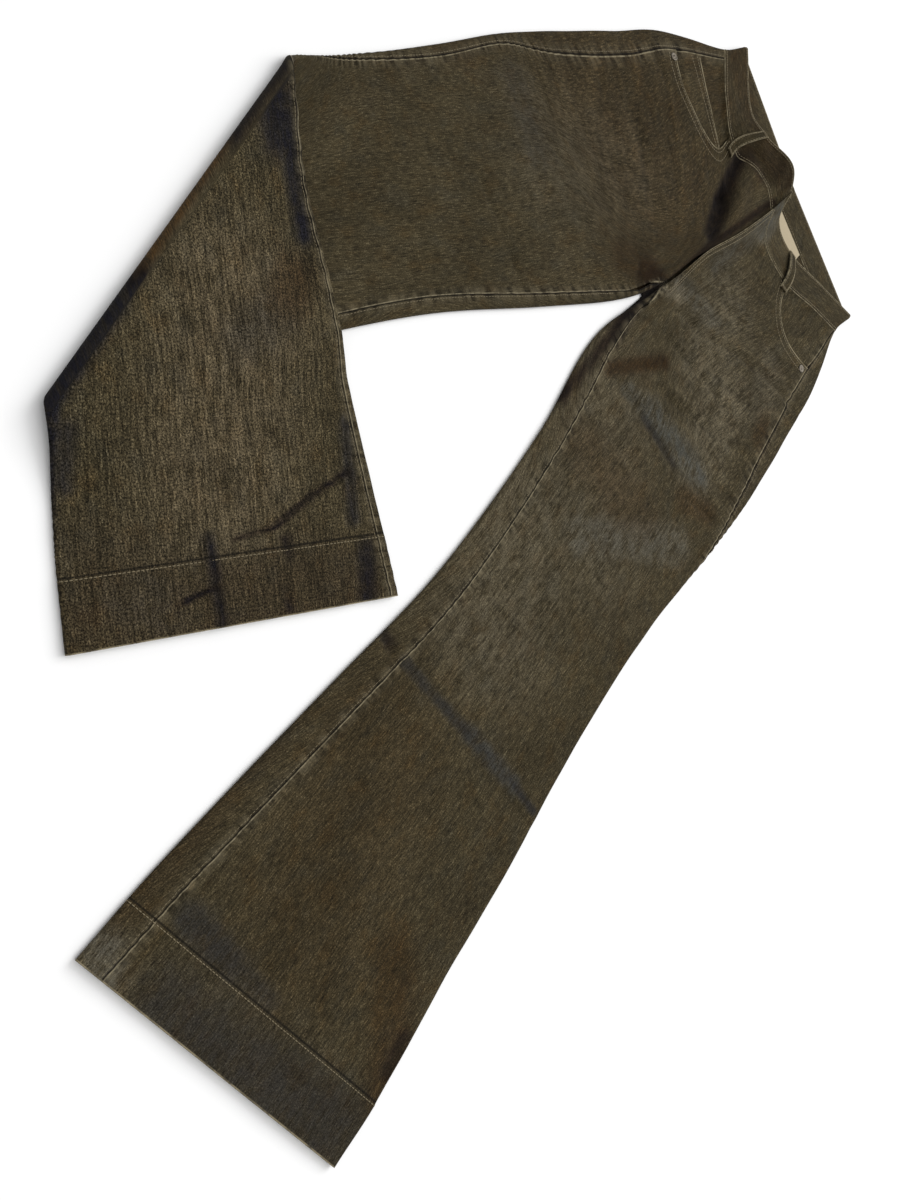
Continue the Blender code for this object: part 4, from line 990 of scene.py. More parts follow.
def hem(half):
    """The turned-up end of a leg, a band inside both panels."""
    depth = CLOTH + SEAM_GAP
    u = np.linspace(half.hem - HEM_DEPTH, half.hem - HEM_SET_BACK, 14)
    across = np.linspace(0, 1, 40)
    roll = np.linspace(0.12, 0.88, 7)
    q, u = np.meshgrid(np.concatenate([across, 1 + roll, 2 + across, 3 + roll]), u)
    return cloth_piece(f"hem_{half.side}", half, u, q, depth, HEM_CLOTH, "denim inside", ring=True)


def pocket_facing(half, depth):
    """The denim that shows inside the pocket mouth, under the front panel, cut from the skin at a depth."""
    top = half.place["waist seam"] + 2 * SEAM_GAP
    outer = half.seams(np.array([top, half.place["pocket end"]]), 2 * SEAM_GAP)[1]
    q_top = waist_columns(half, outer[0])[BEFORE_POCKET - 6:]
    share = (q_top - q_top[0]) / (q_top[-1] - q_top[0])
    mouth = pocket_mouth(half, q_top, outer[0])
    u = top + (mouth + POCKET_UNDERLAP) * np.linspace(0.0, 1.0, 30)[:, None]
    drift = (outer[1] - outer[0]) * np.clip((u - top) / (half.place["pocket end"] - top), 0, 1)
    q = q_top + drift * share
    at_outseam = outer[0] + drift
    to_outseam = (at_outseam - q) * half.width_at(top)
    near_seam = np.exp(-(np.minimum(u - top, to_outseam) / FACING_REACH)**2)
    shows = smooth((top + mouth - u - FACING_LEVEL_FROM) / FACING_EASE)
    depth = depth * (1.0 - near_seam * shows)
    return cloth_piece(f"pocket_facing_{half.side}", half, u, q, depth, FACING_CLOTH, "pocket denim",
                       edge=np.full(u.shape, NOWHERE / 1000))


def coin_pocket_grid(half):
    """The u and q of the coin pocket: its mouth row first, its last row under the front panel."""
    waist = half.place["waist seam"]
    outer = half.seams(np.array([waist]), SEAM_GAP)[1][0]
    q_top = np.linspace(POCKET_CORNER[half.side] + COIN_FROM_CORNER, outer - COIN_FROM_OUTSEAM, 40)
    mouth = pocket_mouth(half, q_top, outer)
    start = waist + COIN_MOUTH_SHARE * (half.place["pocket end"] - waist)
    stop = np.maximum(waist + mouth + COIN_UNDERLAP, start + COIN_LEAST_DEPTH)
    u = start + (stop - start) * np.linspace(0.0, 1.0, 14)[:, None]
    return u, q_top + 0 * u


def coin_pocket(half, depth):
    """The small pocket on a facing: its mouth shows, its end is under the front panel."""
    u, q = coin_pocket_grid(half)
    return cloth_piece(f"coin_pocket_{half.side}", half, u, q, depth, COIN_CLOTH, "pocket denim",
                       edge=u - u[:1])


def loop_path(half, share, q_offset):
    """The u, q and lift of places along and across a belt loop, arched off the cloth between its ends."""
    bottom = half.place["waist seam"] + LOOP_BELOW_BAND
    u = bottom - share * (bottom - LOOP_BELOW_TOP)
    lift = 2 * SEAM_GAP + LOOP_CLOTH + LOOP_ARCH * np.sin(math.pi * share)
    width = half.width(half.place["waist seam"])
    return u, 0.5 + q_offset / width + 0 * share, lift


CROTCH_FALL = 0.6
CROTCH_LUMP = 0.0040
CROTCH_FOLDS = 0.0006


def crotch(right, left):
    """The end of the rise between the thighs, dark with painted shade, s across it from 0 to 1 and t down it
    from 0 to 1.

    A place is (1 - s) R(w) + s L(w), R and L the two rolled inner edges and w = t (1 - 0.3 sin(pi s)) of the
    way down. Its height falls by the share CROTCH_FALL sin(pi s) and swells by a lump at its top.
    """
    t, s = np.meshgrid(np.linspace(0.0, 1.0, 26), np.linspace(0.0, 1.0, 22), indexing="ij")
    way = t * (1.0 - 0.3 * np.sin(math.pi * s))
    edges = []
    for half, reach in ((right, CROTCH_REACH[0]), (left, CROTCH_REACH[1])):
        edges.append(half.face(half.place["crotch"] - CROTCH_ABOVE + way * reach, -0.5 + 0 * way, SEAM_GAP))
    outer = edges[0] * (1.0 - s[..., None]) + edges[1] * s[..., None]
    lump = np.exp(-((s - 0.5) / 0.28)**2 - ((t - 0.12) / 0.16)**2)
    across = np.sin(math.pi * s)
    folds = CROTCH_FOLDS * np.sin(31.0 * s + 7.0 * t) * across
    outer[..., 2] = outer[..., 2] * (1.0 - CROTCH_FALL * across) + CROTCH_LUMP * lump + folds
    outer[..., 2] = np.maximum(outer[..., 2], 1.05 * CLOTH)
    uv = np.column_stack([0.03 * s.ravel(), 0.06 * t.ravel()])
    lump = lump.ravel()
    # Painted shade, brown and dark, over the whole hollow, giving way to pale and blue grey on the lump at
    # its top
    tones = np.column_stack([0.8 * lump, 0.5 * lump, 1.0 - lump, 1.0 - lump])
    walls = (outer, outer - np.array([0.0, 0.0, CLOTH]))
    return add_wall("crotch_cloth", walls, uv, tones, far_lines(s.size), "denim", 1.0)


def belt_loop(half):
    """A strip from the front panel over the waistband, thicker down its middle where its seam is."""
    offset, share = np.meshgrid(LOOP_WIDTH * np.linspace(-0.5, 0.5, 11), np.linspace(0.0, 1.0, 40))
    u, q, lift = loop_path(half, share, offset)
    side = np.abs(offset) / (LOOP_WIDTH / 2)
    crown = LOOP_CROWN * (1 - side**4) + LOOP_EDGE_RIDGE * np.exp(-((side - 0.62) / 0.2)**2)
    walls = half.walls(u, q, (-lift - crown, LOOP_CLOTH - lift))
    uv = np.column_stack([offset.ravel(), u.ravel()])
    lines = far_lines(u.size)
    lines[:, 1] = 1000 * (LOOP_WIDTH / 2 - np.abs(offset.ravel()))
    node = f"belt_loop_{half.side}"
    return add_wall(f"{node}_cloth", walls, uv, np.zeros((u.size, 4)), lines, "denim", -half.turn, node=node)


def ring_quads(index):
    """Quads between rows of a grid of point numbers, each row a closed ring."""
    index = np.column_stack([index, index[:, :1]])
    corners = [index[:-1, :-1], index[:-1, 1:], index[1:, 1:], index[1:, :-1]]
    return np.stack(corners, axis=-1).reshape(-1, 4)


# Profile of a rivet: shares of its radius and of its height, from its rim up over a raised ring to its nipple
RIVET_PROFILE = ((0.0, 0.0), (0.94, 0.0), (1.0, 0.12), (1.0, 0.30), (0.93, 0.52), (0.78, 0.66),
                 (0.60, 0.60), (0.48, 0.42), (0.36, 0.44), (0.22, 0.80), (0.10, 0.98), (0.0, 1.0))
RIVET_SIDES = 32


def rivet(half):
    """A pressed rivet: a profile of a washer, a raised ring and a small nipple, turned round its axis."""
    u = np.array([half.place["pocket end"] + RIVET_INSET])
    outer = half.seams(u, SEAM_GAP / 2)[1][0]
    q = np.array([outer - RIVET_INSET / half.width(u[0])])
    seat, above = [grid[0] for grid in half.walls(u, q, (-SEAM_GAP, -2 * RIVET_RADIUS))]
    normal = unit(above - seat)
    side = unit(np.cross(normal, np.array([0.0, 1.0, 0.0])))
    radius, height = (np.array(RIVET_PROFILE) * (RIVET_RADIUS, RIVET_HEIGHT)).T
    angle = np.linspace(0.0, 2 * math.pi, RIVET_SIDES, endpoint=False)
    ring = np.cos(angle)[None, :, None] * side + np.sin(angle)[None, :, None] * np.cross(normal, side)
    points = seat + ring * radius[:, None, None] + normal * height[:, None, None]
    points = np.vstack([points[0, :1], points[1:-1].reshape(-1, 3), points[-1, :1]])
    index = 1 + np.arange((len(radius) - 2) * RIVET_SIDES).reshape(-1, RIVET_SIDES)
    low = [[0, b, a] for a, b in zip(index[0], np.roll(index[0], -1))]
    high = [[len(points) - 1, a, b] for a, b in zip(index[-1], np.roll(index[-1], -1))]
    node = f"rivet_{half.side}"
    piece = add_mesh(f"{node}_metal", points, ring_quads(index).tolist() + low + high, "rivet metal")
    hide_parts(node)
    return piece


def label(half):
    """A bare woven label inside the back, hanging from the waistband's seam."""
    top = half.place["waist seam"] + SEAM_GAP
    tops, floors, _, _ = half.upper.at(np.array([top]))
    width = np.linalg.norm(tops[0, OUTER, :2] - floors[0])
    first = 3.0 - (LABEL_FROM_SEAT + LABEL_LENGTH) / width
    last = 3.0 - LABEL_FROM_SEAT / width
    q, u = np.meshgrid(np.linspace(first, last, 40), np.linspace(top, top + LABEL_DROP, 26))
    lift = CLOTH + SEAM_GAP
    return cloth_piece("label", half, u, q, lift, LABEL_CLOTH, "label cloth")


# A stitch: rings along it at shares of its length, each with a share of its thickness
STITCH_RINGS = ((0.0, 0.45), (0.22, 1.0), (0.78, 1.0), (1.0, 0.45))
STITCH_SIDES = 6
STITCH_PITCH = 0.0034
THREAD = 0.00042
SEAM_THREAD = 0.00028

# Where the rows run, in metres from a seam or an edge
DOUBLE_ROW = (0.003, 0.009)
COIN_ROWS = (0.003, 0.008)
COIN_SIDE_ROW = 0.012
SEAM_ROW = 0.0025
SEAM_ROW_FROM_WAIST = 0.004
SEAM_ROW_FROM_HEM = 0.002
BAND_TOP_ROW = 0.0028
BAND_SEAM_ROW = 0.0032
ROW_STOPS_SHORT = 0.006
LOOP_ROWS = (-0.0034, 0.0034)
LOOP_THREAD_LIFT = 0.0004
BAR_TACKS = (0.025, 0.05, 0.95, 0.975)
TACK_PITCH = 0.0012
TACK_THREAD = 0.0005


def stitch_row(half, u, q, pitch=STITCH_PITCH, fill=0.78, thickness=THREAD, lift=0.0, inside=0.0):
    """Thread along a path on the skin: even stitches, each of a few rings of points, half sunk in the cloth.

    lift raises the row off the skin. inside puts it on the inner face of cloth of that thickness.
    """
    fine = np.linspace(0.0, 1.0, 1500)
    share = np.linspace(0.0, 1.0, len(u))
    u = np.interp(fine, share, u)
    q = np.interp(fine, share, q)
    lift = np.interp(fine, share, np.broadcast_to(lift, share.shape))
    ground, above = half.walls(u, q, (inside - lift, inside - lift - 0.001))
    normal = unit(above - ground) * (-1.0 if inside else 1.0)
    run = np.concatenate([[0.0], np.cumsum(np.linalg.norm(np.diff(ground, axis=0), axis=1))])
    count = max(1, int(run[-1] / pitch))
    starts = (np.arange(count) + 0.5 * (1 - fill)) * run[-1] / count
    stops = starts + fill * run[-1] / count

    def read(grid, at):
        return np.column_stack([np.interp(at, run, grid[:, axis]) for axis in range(3)])

    head = read(ground, starts)
    tail = read(ground, stops)
    up = unit(read(normal, (starts + stops) / 2))
    along = unit(tail - head)
    side = np.cross(up, along)
    angle = np.linspace(0.0, 2 * math.pi, STITCH_SIDES, endpoint=False)
    rings = []
    for way, size in STITCH_RINGS:
        centre = head * (1 - way) + tail * way + up * 0.3 * thickness * (2 * size - 1)
        around = np.cos(angle)[None, :, None] * side[:, None] + np.sin(angle)[None, :, None] * up[:, None]
        rings.append(centre[:, None] + around * thickness * size)
    rings = np.stack(rings, axis=1)
    rings[..., 2] = np.maximum(rings[..., 2], 0.0)
    return rings


def join_stitches(name, rows):
    """One mesh of many stitches: rings joined by quads, a face over each end."""
    points = np.concatenate([row.reshape(-1, len(STITCH_RINGS), STITCH_SIDES, 3) for row in rows])
    per = len(STITCH_RINGS) * STITCH_SIDES
    index = np.arange(per).reshape(len(STITCH_RINGS), STITCH_SIDES)
    starts = per * np.arange(len(points))
    faces = (ring_quads(index)[None, :, ::-1] + starts[:, None, None]).reshape(-1, 4).tolist()
    for end in (index[0], index[-1][::-1]):
        faces += (end[None] + starts[:, None]).tolist()
    return add_mesh(name, points.reshape(-1, 3), faces, "thread")


def mouth_row(half, inset, count=80):
    """A path beside the pocket mouth on the front panel: the scoop's curve moved square to itself."""
    top = half.place["waist seam"] + SEAM_GAP / 2
    outer = half.seams(np.array([half.place["pocket end"]]), SEAM_GAP / 2)[1][0]
    corner = POCKET_CORNER[half.side]
    q = corner + (outer - corner) * np.linspace(0.0, 1.0, count)**2.2
    u = top + pocket_mouth(half, q, outer)
    width = half.width(u)
    x = (q - 0.5) * width
    step_x = np.gradient(x)
    step_u = np.gradient(u)
    size = np.hypot(step_x, step_u)
    moved_x = x - inset * step_u / size
    moved_u = u + inset * step_x / size
    moved_q = 0.5 + moved_x / half.width(moved_u)
    good = (moved_u > top + 0.001) & (moved_q < outer - 0.004)
    return moved_u[good], moved_q[good]


def seam_row(half, outer_seam, offset, start, stop, count=400):
    """A path beside the outseam or the inseam, a length of cloth away from it."""
    u = np.linspace(start, stop, count)
    width = half.width(u)
    if outer_seam:
        q = np.interp(u, half.table_u, half.table_outer)
        at = half.across_length(u, q) + offset
    else:
        q = np.interp(u, half.table_u, half.table_inner)
        at = half.across_length(u, q) - offset
    roll = math.pi * EDGE_RADIUS
    at = at + 0.5 * width
    found = np.where(at < 0, at / roll, np.where(at < width, at / width, np.where(
        at < width + roll, 1 + (at - width) / roll, 2 + (at - width - roll) / width)))
    if not outer_seam:
        found = np.where(at < -roll, -1 + (at + roll) / width, found)
    return u, found


def topstitch(right, left):
    """All the rows of topstitching."""
    for half in (right, left):
        waist = half.place["waist seam"]
        ring = np.linspace(0.0, 4.0, 800)
        rows = [stitch_row(half, half.hem - HEM_DEPTH + HEM_ROW_FROM_EDGE + 0 * ring, ring)]
        rows += [stitch_row(half, *mouth_row(half, inset)) for inset in DOUBLE_ROW]
        start = waist + SEAM_ROW_FROM_WAIST
        stop = half.hem - SEAM_ROW_FROM_HEM
        stretches = [(start, stop)]
        if half is right:
            after_fold = half.fold + half.bend + ROW_STOPS_SHORT
            stretches = [(start, half.fold - ROW_STOPS_SHORT), (after_fold, stop)]
        paths = [seam_row(half, True, SEAM_ROW, *stretch) for stretch in stretches]
        paths.append(seam_row(half, False, SEAM_ROW, half.place["thigh"], stop))
        rows += [stitch_row(half, *path, thickness=SEAM_THREAD) for path in paths]
        for offset in LOOP_ROWS:
            u, q, lift = loop_path(half, np.linspace(0.03, 0.97, 80), offset)
            rows.append(stitch_row(half, u, q, lift=lift + LOOP_THREAD_LIFT))
        for at in BAR_TACKS:
            across = np.linspace(-0.42, 0.42, 30) * LOOP_WIDTH
            u, q, lift = loop_path(half, at + 0 * across, across)
            rows.append(stitch_row(half, u, q, pitch=TACK_PITCH, fill=0.9, thickness=TACK_THREAD,
                                   lift=lift + LOOP_THREAD_LIFT))
        if half is left:
            u = np.linspace(waist + 0.002, half.place["crotch"] - 0.004, 200)
            width = half.width(u)
            rows += [stitch_row(half, u, away / width) for away in DOUBLE_ROW]
        else:
            u, q = coin_pocket_grid(half)
            lift = -(CLOTH + SEAM_GAP)
            rows += [stitch_row(half, u[0] + down, q[0], lift=lift) for down in COIN_ROWS]
            rows.append(stitch_row(half, u[:, 0], q[:, 0] + COIN_SIDE_ROW, lift=lift))
        join_stitches(f"topstitching_{half.side}", rows)
        rows = []
        outside = np.linspace(0.012, 3.0, 500)
        inside = np.linspace(0.02, 2.98, 500)
        for u_row in (BAND_TOP_ROW, waist - BAND_SEAM_ROW):
            rows.append(stitch_row(half, u_row + 0 * outside, outside))
            rows.append(stitch_row(half, u_row + 0 * inside, inside, inside=BAND_CLOTH))
        join_stitches(f"waistband_stitching_{half.side}", rows)


def linear(red, green, blue):
    """A screen colour of 0 to 255 as the linear colour that a shader takes."""
    share = np.array([red, green, blue]) / 255.0
    low = share / 12.92
    high = ((share + 0.055) / 1.055)**2.4
    return (*[float(value) for value in np.where(share < 0.04045, low, high)], 1.0)


class Look:
    """A material's nodes, with a short way to add each kind."""

    def __init__(self, name):
        self.material = bpy.data.materials.new(name)
        self.material.use_nodes = True
        self.nodes = self.material.node_tree.nodes
        self.shader = self.nodes["Principled BSDF"].inputs

    def put(self, socket, value):
        """Set a number or a colour on a socket, or link a node's output to it."""
        if isinstance(value, (int, float, tuple)):
            socket.default_value = value
        else:
            self.material.node_tree.links.new(value, socket)

    def add(self, kind, sockets, **settings):
        """A node of a kind with its settings, and values or links for its sockets."""
        node = self.nodes.new(f"ShaderNode{kind}")
        for name, value in settings.items():
            setattr(node, name, value)
        for socket, value in sockets.items():
            self.put(node.inputs[socket], value)
        return node

    def noise(self, vector, scale, detail, roughness):
        """A noise texture read on a vector."""
        sockets = {"Vector": vector, "Scale": scale, "Detail": detail, "Roughness": roughness}
        return self.add("TexNoise", sockets).outputs["Fac"]

    def mapped(self, vector, **sockets):
        """A vector stretched or turned."""
        return self.add("Mapping", {"Vector": vector, **sockets}).outputs["Vector"]

    def parts(self, vector, kind="SeparateColor"):
        """The three parts of a colour or a vector."""
        node = self.nodes.new(f"ShaderNode{kind}")
        self.put(node.inputs[0], vector)
        return node.outputs[0], node.outputs[1], node.outputs[2]

    def spread(self, value, low, high, to_low=0.0, to_high=1.0):
        """A value carried from one range to another, and kept inside it."""
        sockets = {"Value": value, "From Min": low, "From Max": high, "To Min": to_low, "To Max": to_high}
        return self.add("MapRange", sockets).outputs["Result"]

    def maths(self, operation, first, second=0.0):
        """Two values put together by a Math node; either may be a number."""
        return self.add("Math", {0: first, 1: second}, operation=operation).outputs["Value"]

    def times(self, first, second):
        """One value times another."""
        return self.maths("MULTIPLY", first, second)

    def total(self, *weighed):
        """Sum of values, each with its weight."""
        sum_so_far = None
        for value, weight in weighed:
            part = self.times(value, weight)
            sum_so_far = part if sum_so_far is None else self.maths("ADD", sum_so_far, part)
        return sum_so_far

    def line(self, distance, place, half_width, fade):
        """1 on a line at a signed distance, 0 away from it."""
        away = self.maths("ABSOLUTE", self.maths("SUBTRACT", distance, place))
        return self.spread(away, half_width, half_width + fade, 1.0, 0.0)

    def mixed(self, share, first, second, way="MIX"):
        """Two colours mixed by a share; each colour may be fixed."""
        node = self.add("Mix", {}, data_type="RGBA", blend_type=way)
        for socket, value in (("Factor", share), ("A", first), ("B", second)):
            self.put(node.inputs[socket], value)
        return node.outputs["Result"]

    def dyed(self, colour, by):
        """A colour multiplied by another, or by a value."""
        return self.mixed(1.0, colour, by, "MULTIPLY")

    def shared(self, amount, ragged):
        """An amount made uneven and kept between 0 and 1."""
        return self.spread(self.times(amount, ragged), 0.0, 1.0)

    def bumped(self, height, strength, distance):
        """Raise the surface's look by a height."""
        sockets = {"Height": height, "Strength": strength, "Distance": distance}
        self.put(self.shader["Normal"], self.add("Bump", sockets).outputs["Normal"])


# Turn that brings the hip's creases level with the first cloth coordinate, in radians
HIP_CREASE_TURN = 0.62

# What the cloth's own colour is multiplied by where it is duller, brighter, browner and greyer, and by the
# brown tone, which on the lines of painted shade also deepens that shade to brown black
DULL = (0.84, 0.83, 0.80, 1.0)
BRIGHT = (1.16, 1.15, 1.13, 1.0)
RUSSET = (1.07, 0.94, 0.78, 1.0)
SLATE = (0.86, 0.94, 1.12, 1.0)
BROWN_AND_SHADE_FACTOR = (0.68, 0.47, 0.28, 1.0)

# Colours that the tones, the seams and the edges turn the cloth towards, on the screen: the shade colours and
# the pucker highlight are painted shade and painted highlight
WORN = (126, 117, 98)
BLUE_LOW, BLUE_HIGH = (32, 33, 31), (82, 81, 74)
PAINTED_SHADE_LOW, PAINTED_SHADE_HIGH = (8, 8, 12), (27, 26, 31)
PUCKER_HIGHLIGHT = (118, 109, 88)
PUCKER_SHADE = (20, 18, 14)
SEAM_SHADE = (14, 12, 10)
HEM_SHADE = (16, 14, 11)
RIM = (138, 128, 104)

# Noises of the cloth: how many to a metre across and down the leg, their detail and their roughness
NOISES = {
    "slub": (850.0, 130.0, 2.0, 0.6),
    "streak": (380.0, 24.0, 3.0, 0.6),
    "fleck": (1100.0, 850.0, 2.0, 0.6),
    "grit": (800.0, 620.0, 1.0, 0.7),
    "mottle": (16.0, 9.0, 4.0, 0.65),
    "blotch": (75.0, 60.0, 4.0, 0.65),
    "tint": (52.0, 34.0, 3.0, 0.6),
    "ripple": (25.0, 150.0, 2.0, 0.5),
    "gap": (90.0, 210.0, 2.0, 0.6),
    "wrinkle": (13.0, 66.0, 2.0, 0.5),
}


def denim(name, dark, mid, light):
    """Twill with slubs along the leg, fine pale flecks and slow mottling, faded by the tones and given
    painted shade by them.
    """
    look = Look(name)
    grain = look.add("UVMap", {}, uv_map="cloth").outputs["UV"]
    tones = look.add("VertexColor", {}, layer_name="tones").outputs
    lines = look.add("VertexColor", {}, layer_name="lines").outputs
    pale, blue, brown_and_shade = look.parts(tones["Color"])
    seam, edge, hem_row = look.parts(lines["Color"])
    turned = look.mapped(grain, Rotation=(0.0, 0.0, HIP_CREASE_TURN))
    made = {}
    for kind, (across, down, detail, roughness) in NOISES.items():
        read = look.mapped(turned if kind == "wrinkle" else grain, Scale=(across, down, 1.0))
        made[kind] = look.noise(read, 1.0, detail, roughness)
    slub, streak, fleck, blotch = [made[kind] for kind in ("slub", "streak", "fleck", "blotch")]
    threads = look.spread(look.total((slub, 0.40), (streak, 0.14), (fleck, 0.36), (blotch, 0.10)), 0.37, 0.63)
    cloth = look.mixed(threads, linear(*dark), linear(*mid))
    cloth = look.mixed(look.spread(look.times(fleck, slub), 0.30, 0.44, 0.0, 0.5), cloth, linear(*light))
    mottle = look.spread(made["mottle"], 0.38, 0.64)
    cloth = look.mixed(mottle, look.dyed(cloth, DULL), look.dyed(cloth, BRIGHT))
    for low, high, most, dye in ((0.54, 0.66, 0.6, RUSSET), (0.46, 0.34, 0.5, SLATE)):
        cloth = look.mixed(look.spread(made["tint"], low, high, 0.0, most), cloth, look.dyed(cloth, dye))
    ragged = look.spread(look.total((blotch, 0.5), (streak, 0.3), (slub, 0.2)), 0.42, 0.57, 0.20, 1.30)
    ragged_dark = look.spread(ragged, 0.20, 1.30, 0.72, 1.20)
    worn = look.shared(look.times(pale, ragged), look.spread(threads, 0.1, 0.9, 0.45, 1.0))
    cloth = look.mixed(worn, cloth, linear(*WORN))
    # Blue grey from the tones, then painted shade from their fourth part, each over dark and light threads
    for amount, low, high in ((look.shared(blue, ragged), BLUE_LOW, BLUE_HIGH),
                              (look.shared(tones["Alpha"], ragged_dark), PAINTED_SHADE_LOW, PAINTED_SHADE_HIGH)):
        cloth = look.mixed(amount, cloth, look.mixed(threads, linear(*low), linear(*high)))
    # Brown tone: the cloth's own brown in places, and on the lines of painted shade a deepening of that shade
    cloth = look.mixed(look.shared(brown_and_shade, ragged_dark), cloth, look.dyed(cloth, BROWN_AND_SHADE_FACTOR))
    salt = look.dyed(cloth, look.spread(made["grit"], 0.38, 0.62, 0.38, 1.82))
    salt = look.dyed(salt, look.spread(streak, 0.38, 0.62, 0.74, 1.24))
    cloth = look.mixed(lines["Alpha"], cloth, salt)
    # Painted light and shade on the hip's wrinkles: the colour lighter and darker by up to 14 hundredths with
    # the wrinkle noise, fading out between 30 and 44 cm down the leg
    on_hip = look.spread(look.parts(grain, "SeparateXYZ")[1], 0.30, 0.44, 1.0, 0.0)
    wrinkle = look.times(look.spread(made["wrinkle"], 0.36, 0.64, -1.0, 1.0), on_hip)
    cloth = look.dyed(cloth, look.spread(wrinkle, -1.0, 1.0, 0.86, 1.14))
    broken = look.spread(made["gap"], 0.36, 0.58, 0.25, 1.0)
    # Beside each seam: painted highlight on the puckers' crests and painted shade between them
    by_seam = look.spread(look.maths("ABSOLUTE", seam), 0.5, 9.0, 1.0, 0.0)
    gather = look.times(by_seam, look.spread(made["ripple"], 0.36, 0.64))
    cloth = look.mixed(look.times(gather, 0.34), cloth, linear(*PUCKER_HIGHLIGHT))
    between = look.times(by_seam, look.spread(made["ripple"], 0.38, 0.56, 0.65, 0.0))
    cloth = look.mixed(between, cloth, linear(*PUCKER_SHADE))
    cloth = look.mixed(look.times(look.line(seam, 0.6, 0.25, 0.5), 0.85), cloth, linear(*SEAM_SHADE))
    ridge = look.times(look.line(seam, -0.75, 0.25, 0.4), look.times(broken, 0.75))
    rim = look.times(look.spread(edge, 0.5, 1.3, 0.9, 0.0), broken)
    cloth = look.mixed(look.maths("MAXIMUM", ridge, rim), cloth, linear(*RIM))
    cloth = look.mixed(look.times(look.line(hem_row, -2.6, 0.4, 0.9), 0.75), cloth, linear(*HEM_SHADE))
    for socket, value in (("Base Color", cloth), ("Roughness", 0.92), ("Sheen Weight", 0.015),
                          ("Sheen Roughness", 0.5), ("Specular IOR Level", 0.07)):
        look.put(look.shader[socket], value)
    twill = look.add("TexWave", {"Vector": grain, "Scale": 330.0, "Distortion": 1.5, "Detail": 1.0},
                     wave_type="BANDS", bands_direction="DIAGONAL").outputs["Fac"]
    height = look.total((twill, 0.35), (threads, 1.0), (gather, 2.4), (blotch, 2.0), (wrinkle, 1.6))
    look.bumped(height, 0.7, 0.0004)
    return look.material


def plain(name, colour, roughness, metallic=0.0, grain_scale=900.0, bump=0.2, vary=0.25):
    """A material with fine grain: thread, metal or woven tape."""
    look = Look(name)
    grain = look.noise(look.nodes.new("ShaderNodeTexCoord").outputs["Object"], grain_scale, 2.0, 0.55)
    base = linear(*colour)
    dim = tuple(value * (1.0 - vary) for value in base[:3]) + (1.0,)
    look.put(look.shader["Base Color"], look.mixed(look.spread(grain, 0.3, 0.7), dim, base))
    look.put(look.shader["Roughness"], roughness)
    look.put(look.shader["Metallic"], metallic)
    look.bumped(grain, bump, 0.0002)
    return look.material


def studio():
    """A pale floor, a large soft light from beyond the waist, a wide soft one overhead and a pale sky."""
    floor = bpy.data.meshes.new("floor")
    floor.from_pydata([(-6, -6, 0), (6, -6, 0), (6, 6, 0), (-6, 6, 0)], [], [(0, 1, 2, 3)])
    ground = bpy.data.objects.new("floor", floor)
    ground.location = (0.0, 0.0, -0.0004)
    bpy.context.scene.collection.objects.link(ground)
    paint = bpy.data.materials.new("pale floor")
    paint.use_nodes = True
    shader = paint.node_tree.nodes["Principled BSDF"].inputs
    shader["Base Color"].default_value = (0.86, 0.86, 0.86, 1.0)
    shader["Roughness"].default_value = 0.9
    floor.materials.append(paint)
    for name, place, size, power in LIGHTS:
        data = bpy.data.lights.new(name, "AREA")
        data.size = size
        data.energy = power
        light = bpy.data.objects.new(name, data)
        light.location = place
        light.rotation_euler = Vector(place).to_track_quat("Z", "Y").to_euler()
        bpy.context.scene.collection.objects.link(light)
    world = bpy.context.scene.world or bpy.data.worlds.new("world")
    bpy.context.scene.world = world
    world.use_nodes = True
    sky = world.node_tree.nodes["Background"].inputs
    sky["Color"].default_value = (1.0, 1.0, 1.0, 1.0)
    sky["Strength"].default_value = SKY
    bpy.context.scene.view_settings.view_transform = "Standard"


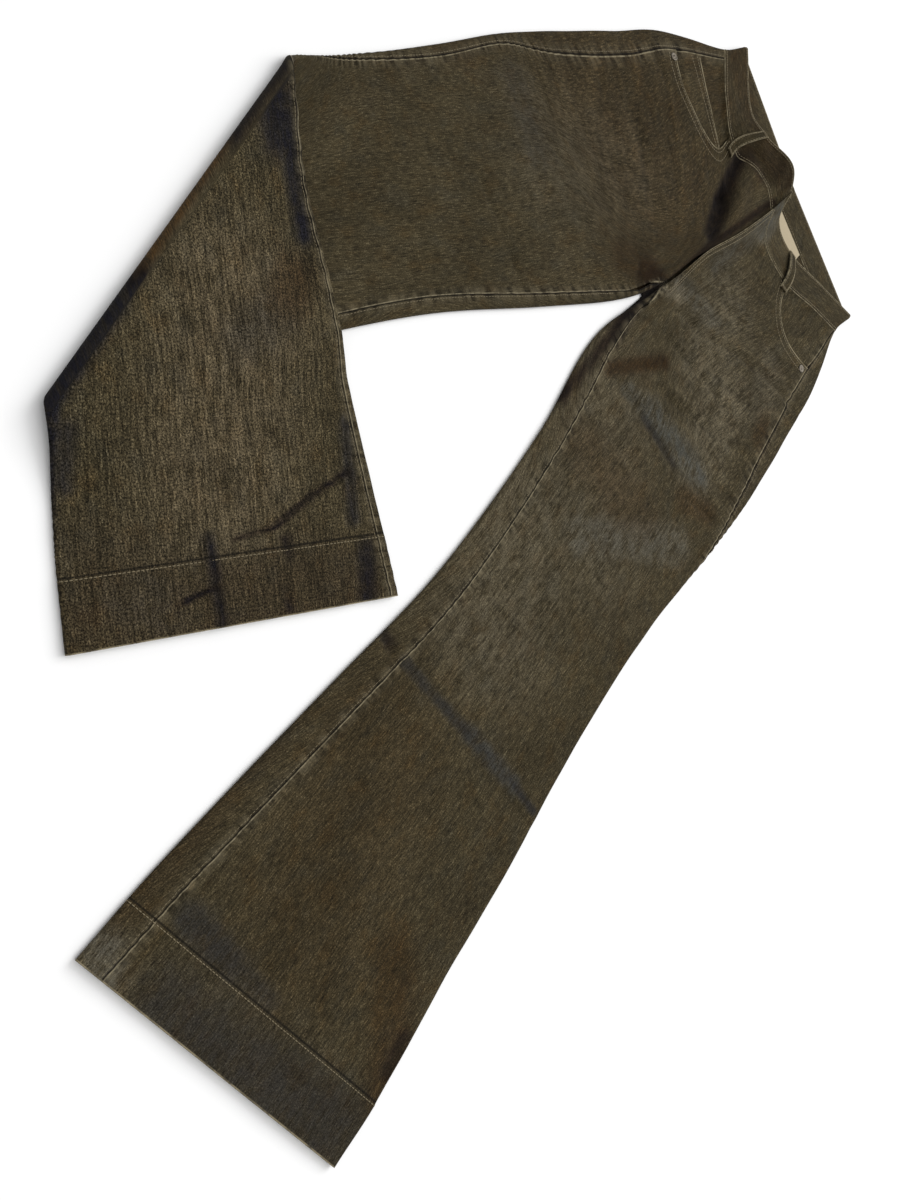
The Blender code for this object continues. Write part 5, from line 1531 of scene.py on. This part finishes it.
def camera():
    """The photographer's place and tilt: standing at the hems' side, phone held over, turned on its side."""
    tilt = math.radians(CAMERA_TILT)
    forward = Vector((0.0, math.cos(tilt), -math.sin(tilt)))
    above = Vector((0.0, math.sin(tilt), math.cos(tilt)))
    aside = Vector((1.0, 0.0, 0.0))
    right = above * math.cos(CAMERA_ROLL) + aside * math.sin(CAMERA_ROLL)
    up = above * math.sin(CAMERA_ROLL) - aside * math.cos(CAMERA_ROLL)
    data = bpy.data.cameras.new("camera")
    data.lens = CAMERA_LENS
    data.sensor_width = 36.0
    data.clip_start = 0.01
    eye = bpy.data.objects.new("camera", data)
    turn = Matrix((right, up, -forward)).transposed().to_4x4()
    eye.matrix_world = Matrix.Translation((-PLAN_MIDDLE[0], -PLAN_MIDDLE[1], CAMERA_HEIGHT)) @ turn
    bpy.context.scene.collection.objects.link(eye)
    bpy.context.scene.camera = eye


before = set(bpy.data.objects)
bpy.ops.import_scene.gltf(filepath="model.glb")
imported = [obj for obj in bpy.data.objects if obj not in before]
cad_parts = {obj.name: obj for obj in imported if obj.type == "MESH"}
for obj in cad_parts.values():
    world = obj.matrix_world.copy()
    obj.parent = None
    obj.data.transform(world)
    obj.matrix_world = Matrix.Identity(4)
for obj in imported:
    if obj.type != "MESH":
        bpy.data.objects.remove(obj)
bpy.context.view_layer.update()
FINISH = {
    "denim": denim("dark olive denim", (28, 24, 16), (74, 66, 47), (117, 107, 84)),
    "denim inside": denim("denim inside", (34, 29, 19), (80, 71, 51), (116, 106, 84)),
    "pocket denim": denim("pocket denim", (29, 25, 16), (73, 65, 46), (112, 102, 80)),
    "thread": plain("tan thread", (120, 108, 82), 0.7),
    "rivet metal": plain("pewter rivet", (104, 97, 86), 0.5, 0.85, 500.0, 0.1),
    "label cloth": plain("cream label", (176, 162, 134), 0.85, 0.0, 1400.0, 0.3, 0.15),
}
SLOT = {name: name for name in ("denim", "denim inside", "pocket denim", "rivet metal", "label cloth")}
SLOT["thread"] = "denim"
right = Half("right")
left = Half("left")
for half in (right, left):
    for make in (front, back, hem, belt_loop):
        piece = make(half)
    rivet(half)
under_front = CLOTH + SEAM_GAP
for piece in (waistband(right, left), coin_pocket(right, under_front),
              pocket_facing(right, under_front + COIN_CLOTH + SEAM_GAP), pocket_facing(left, under_front),
              label(left), crotch(right, left)):
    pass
topstitch(right, left)
studio()
camera()
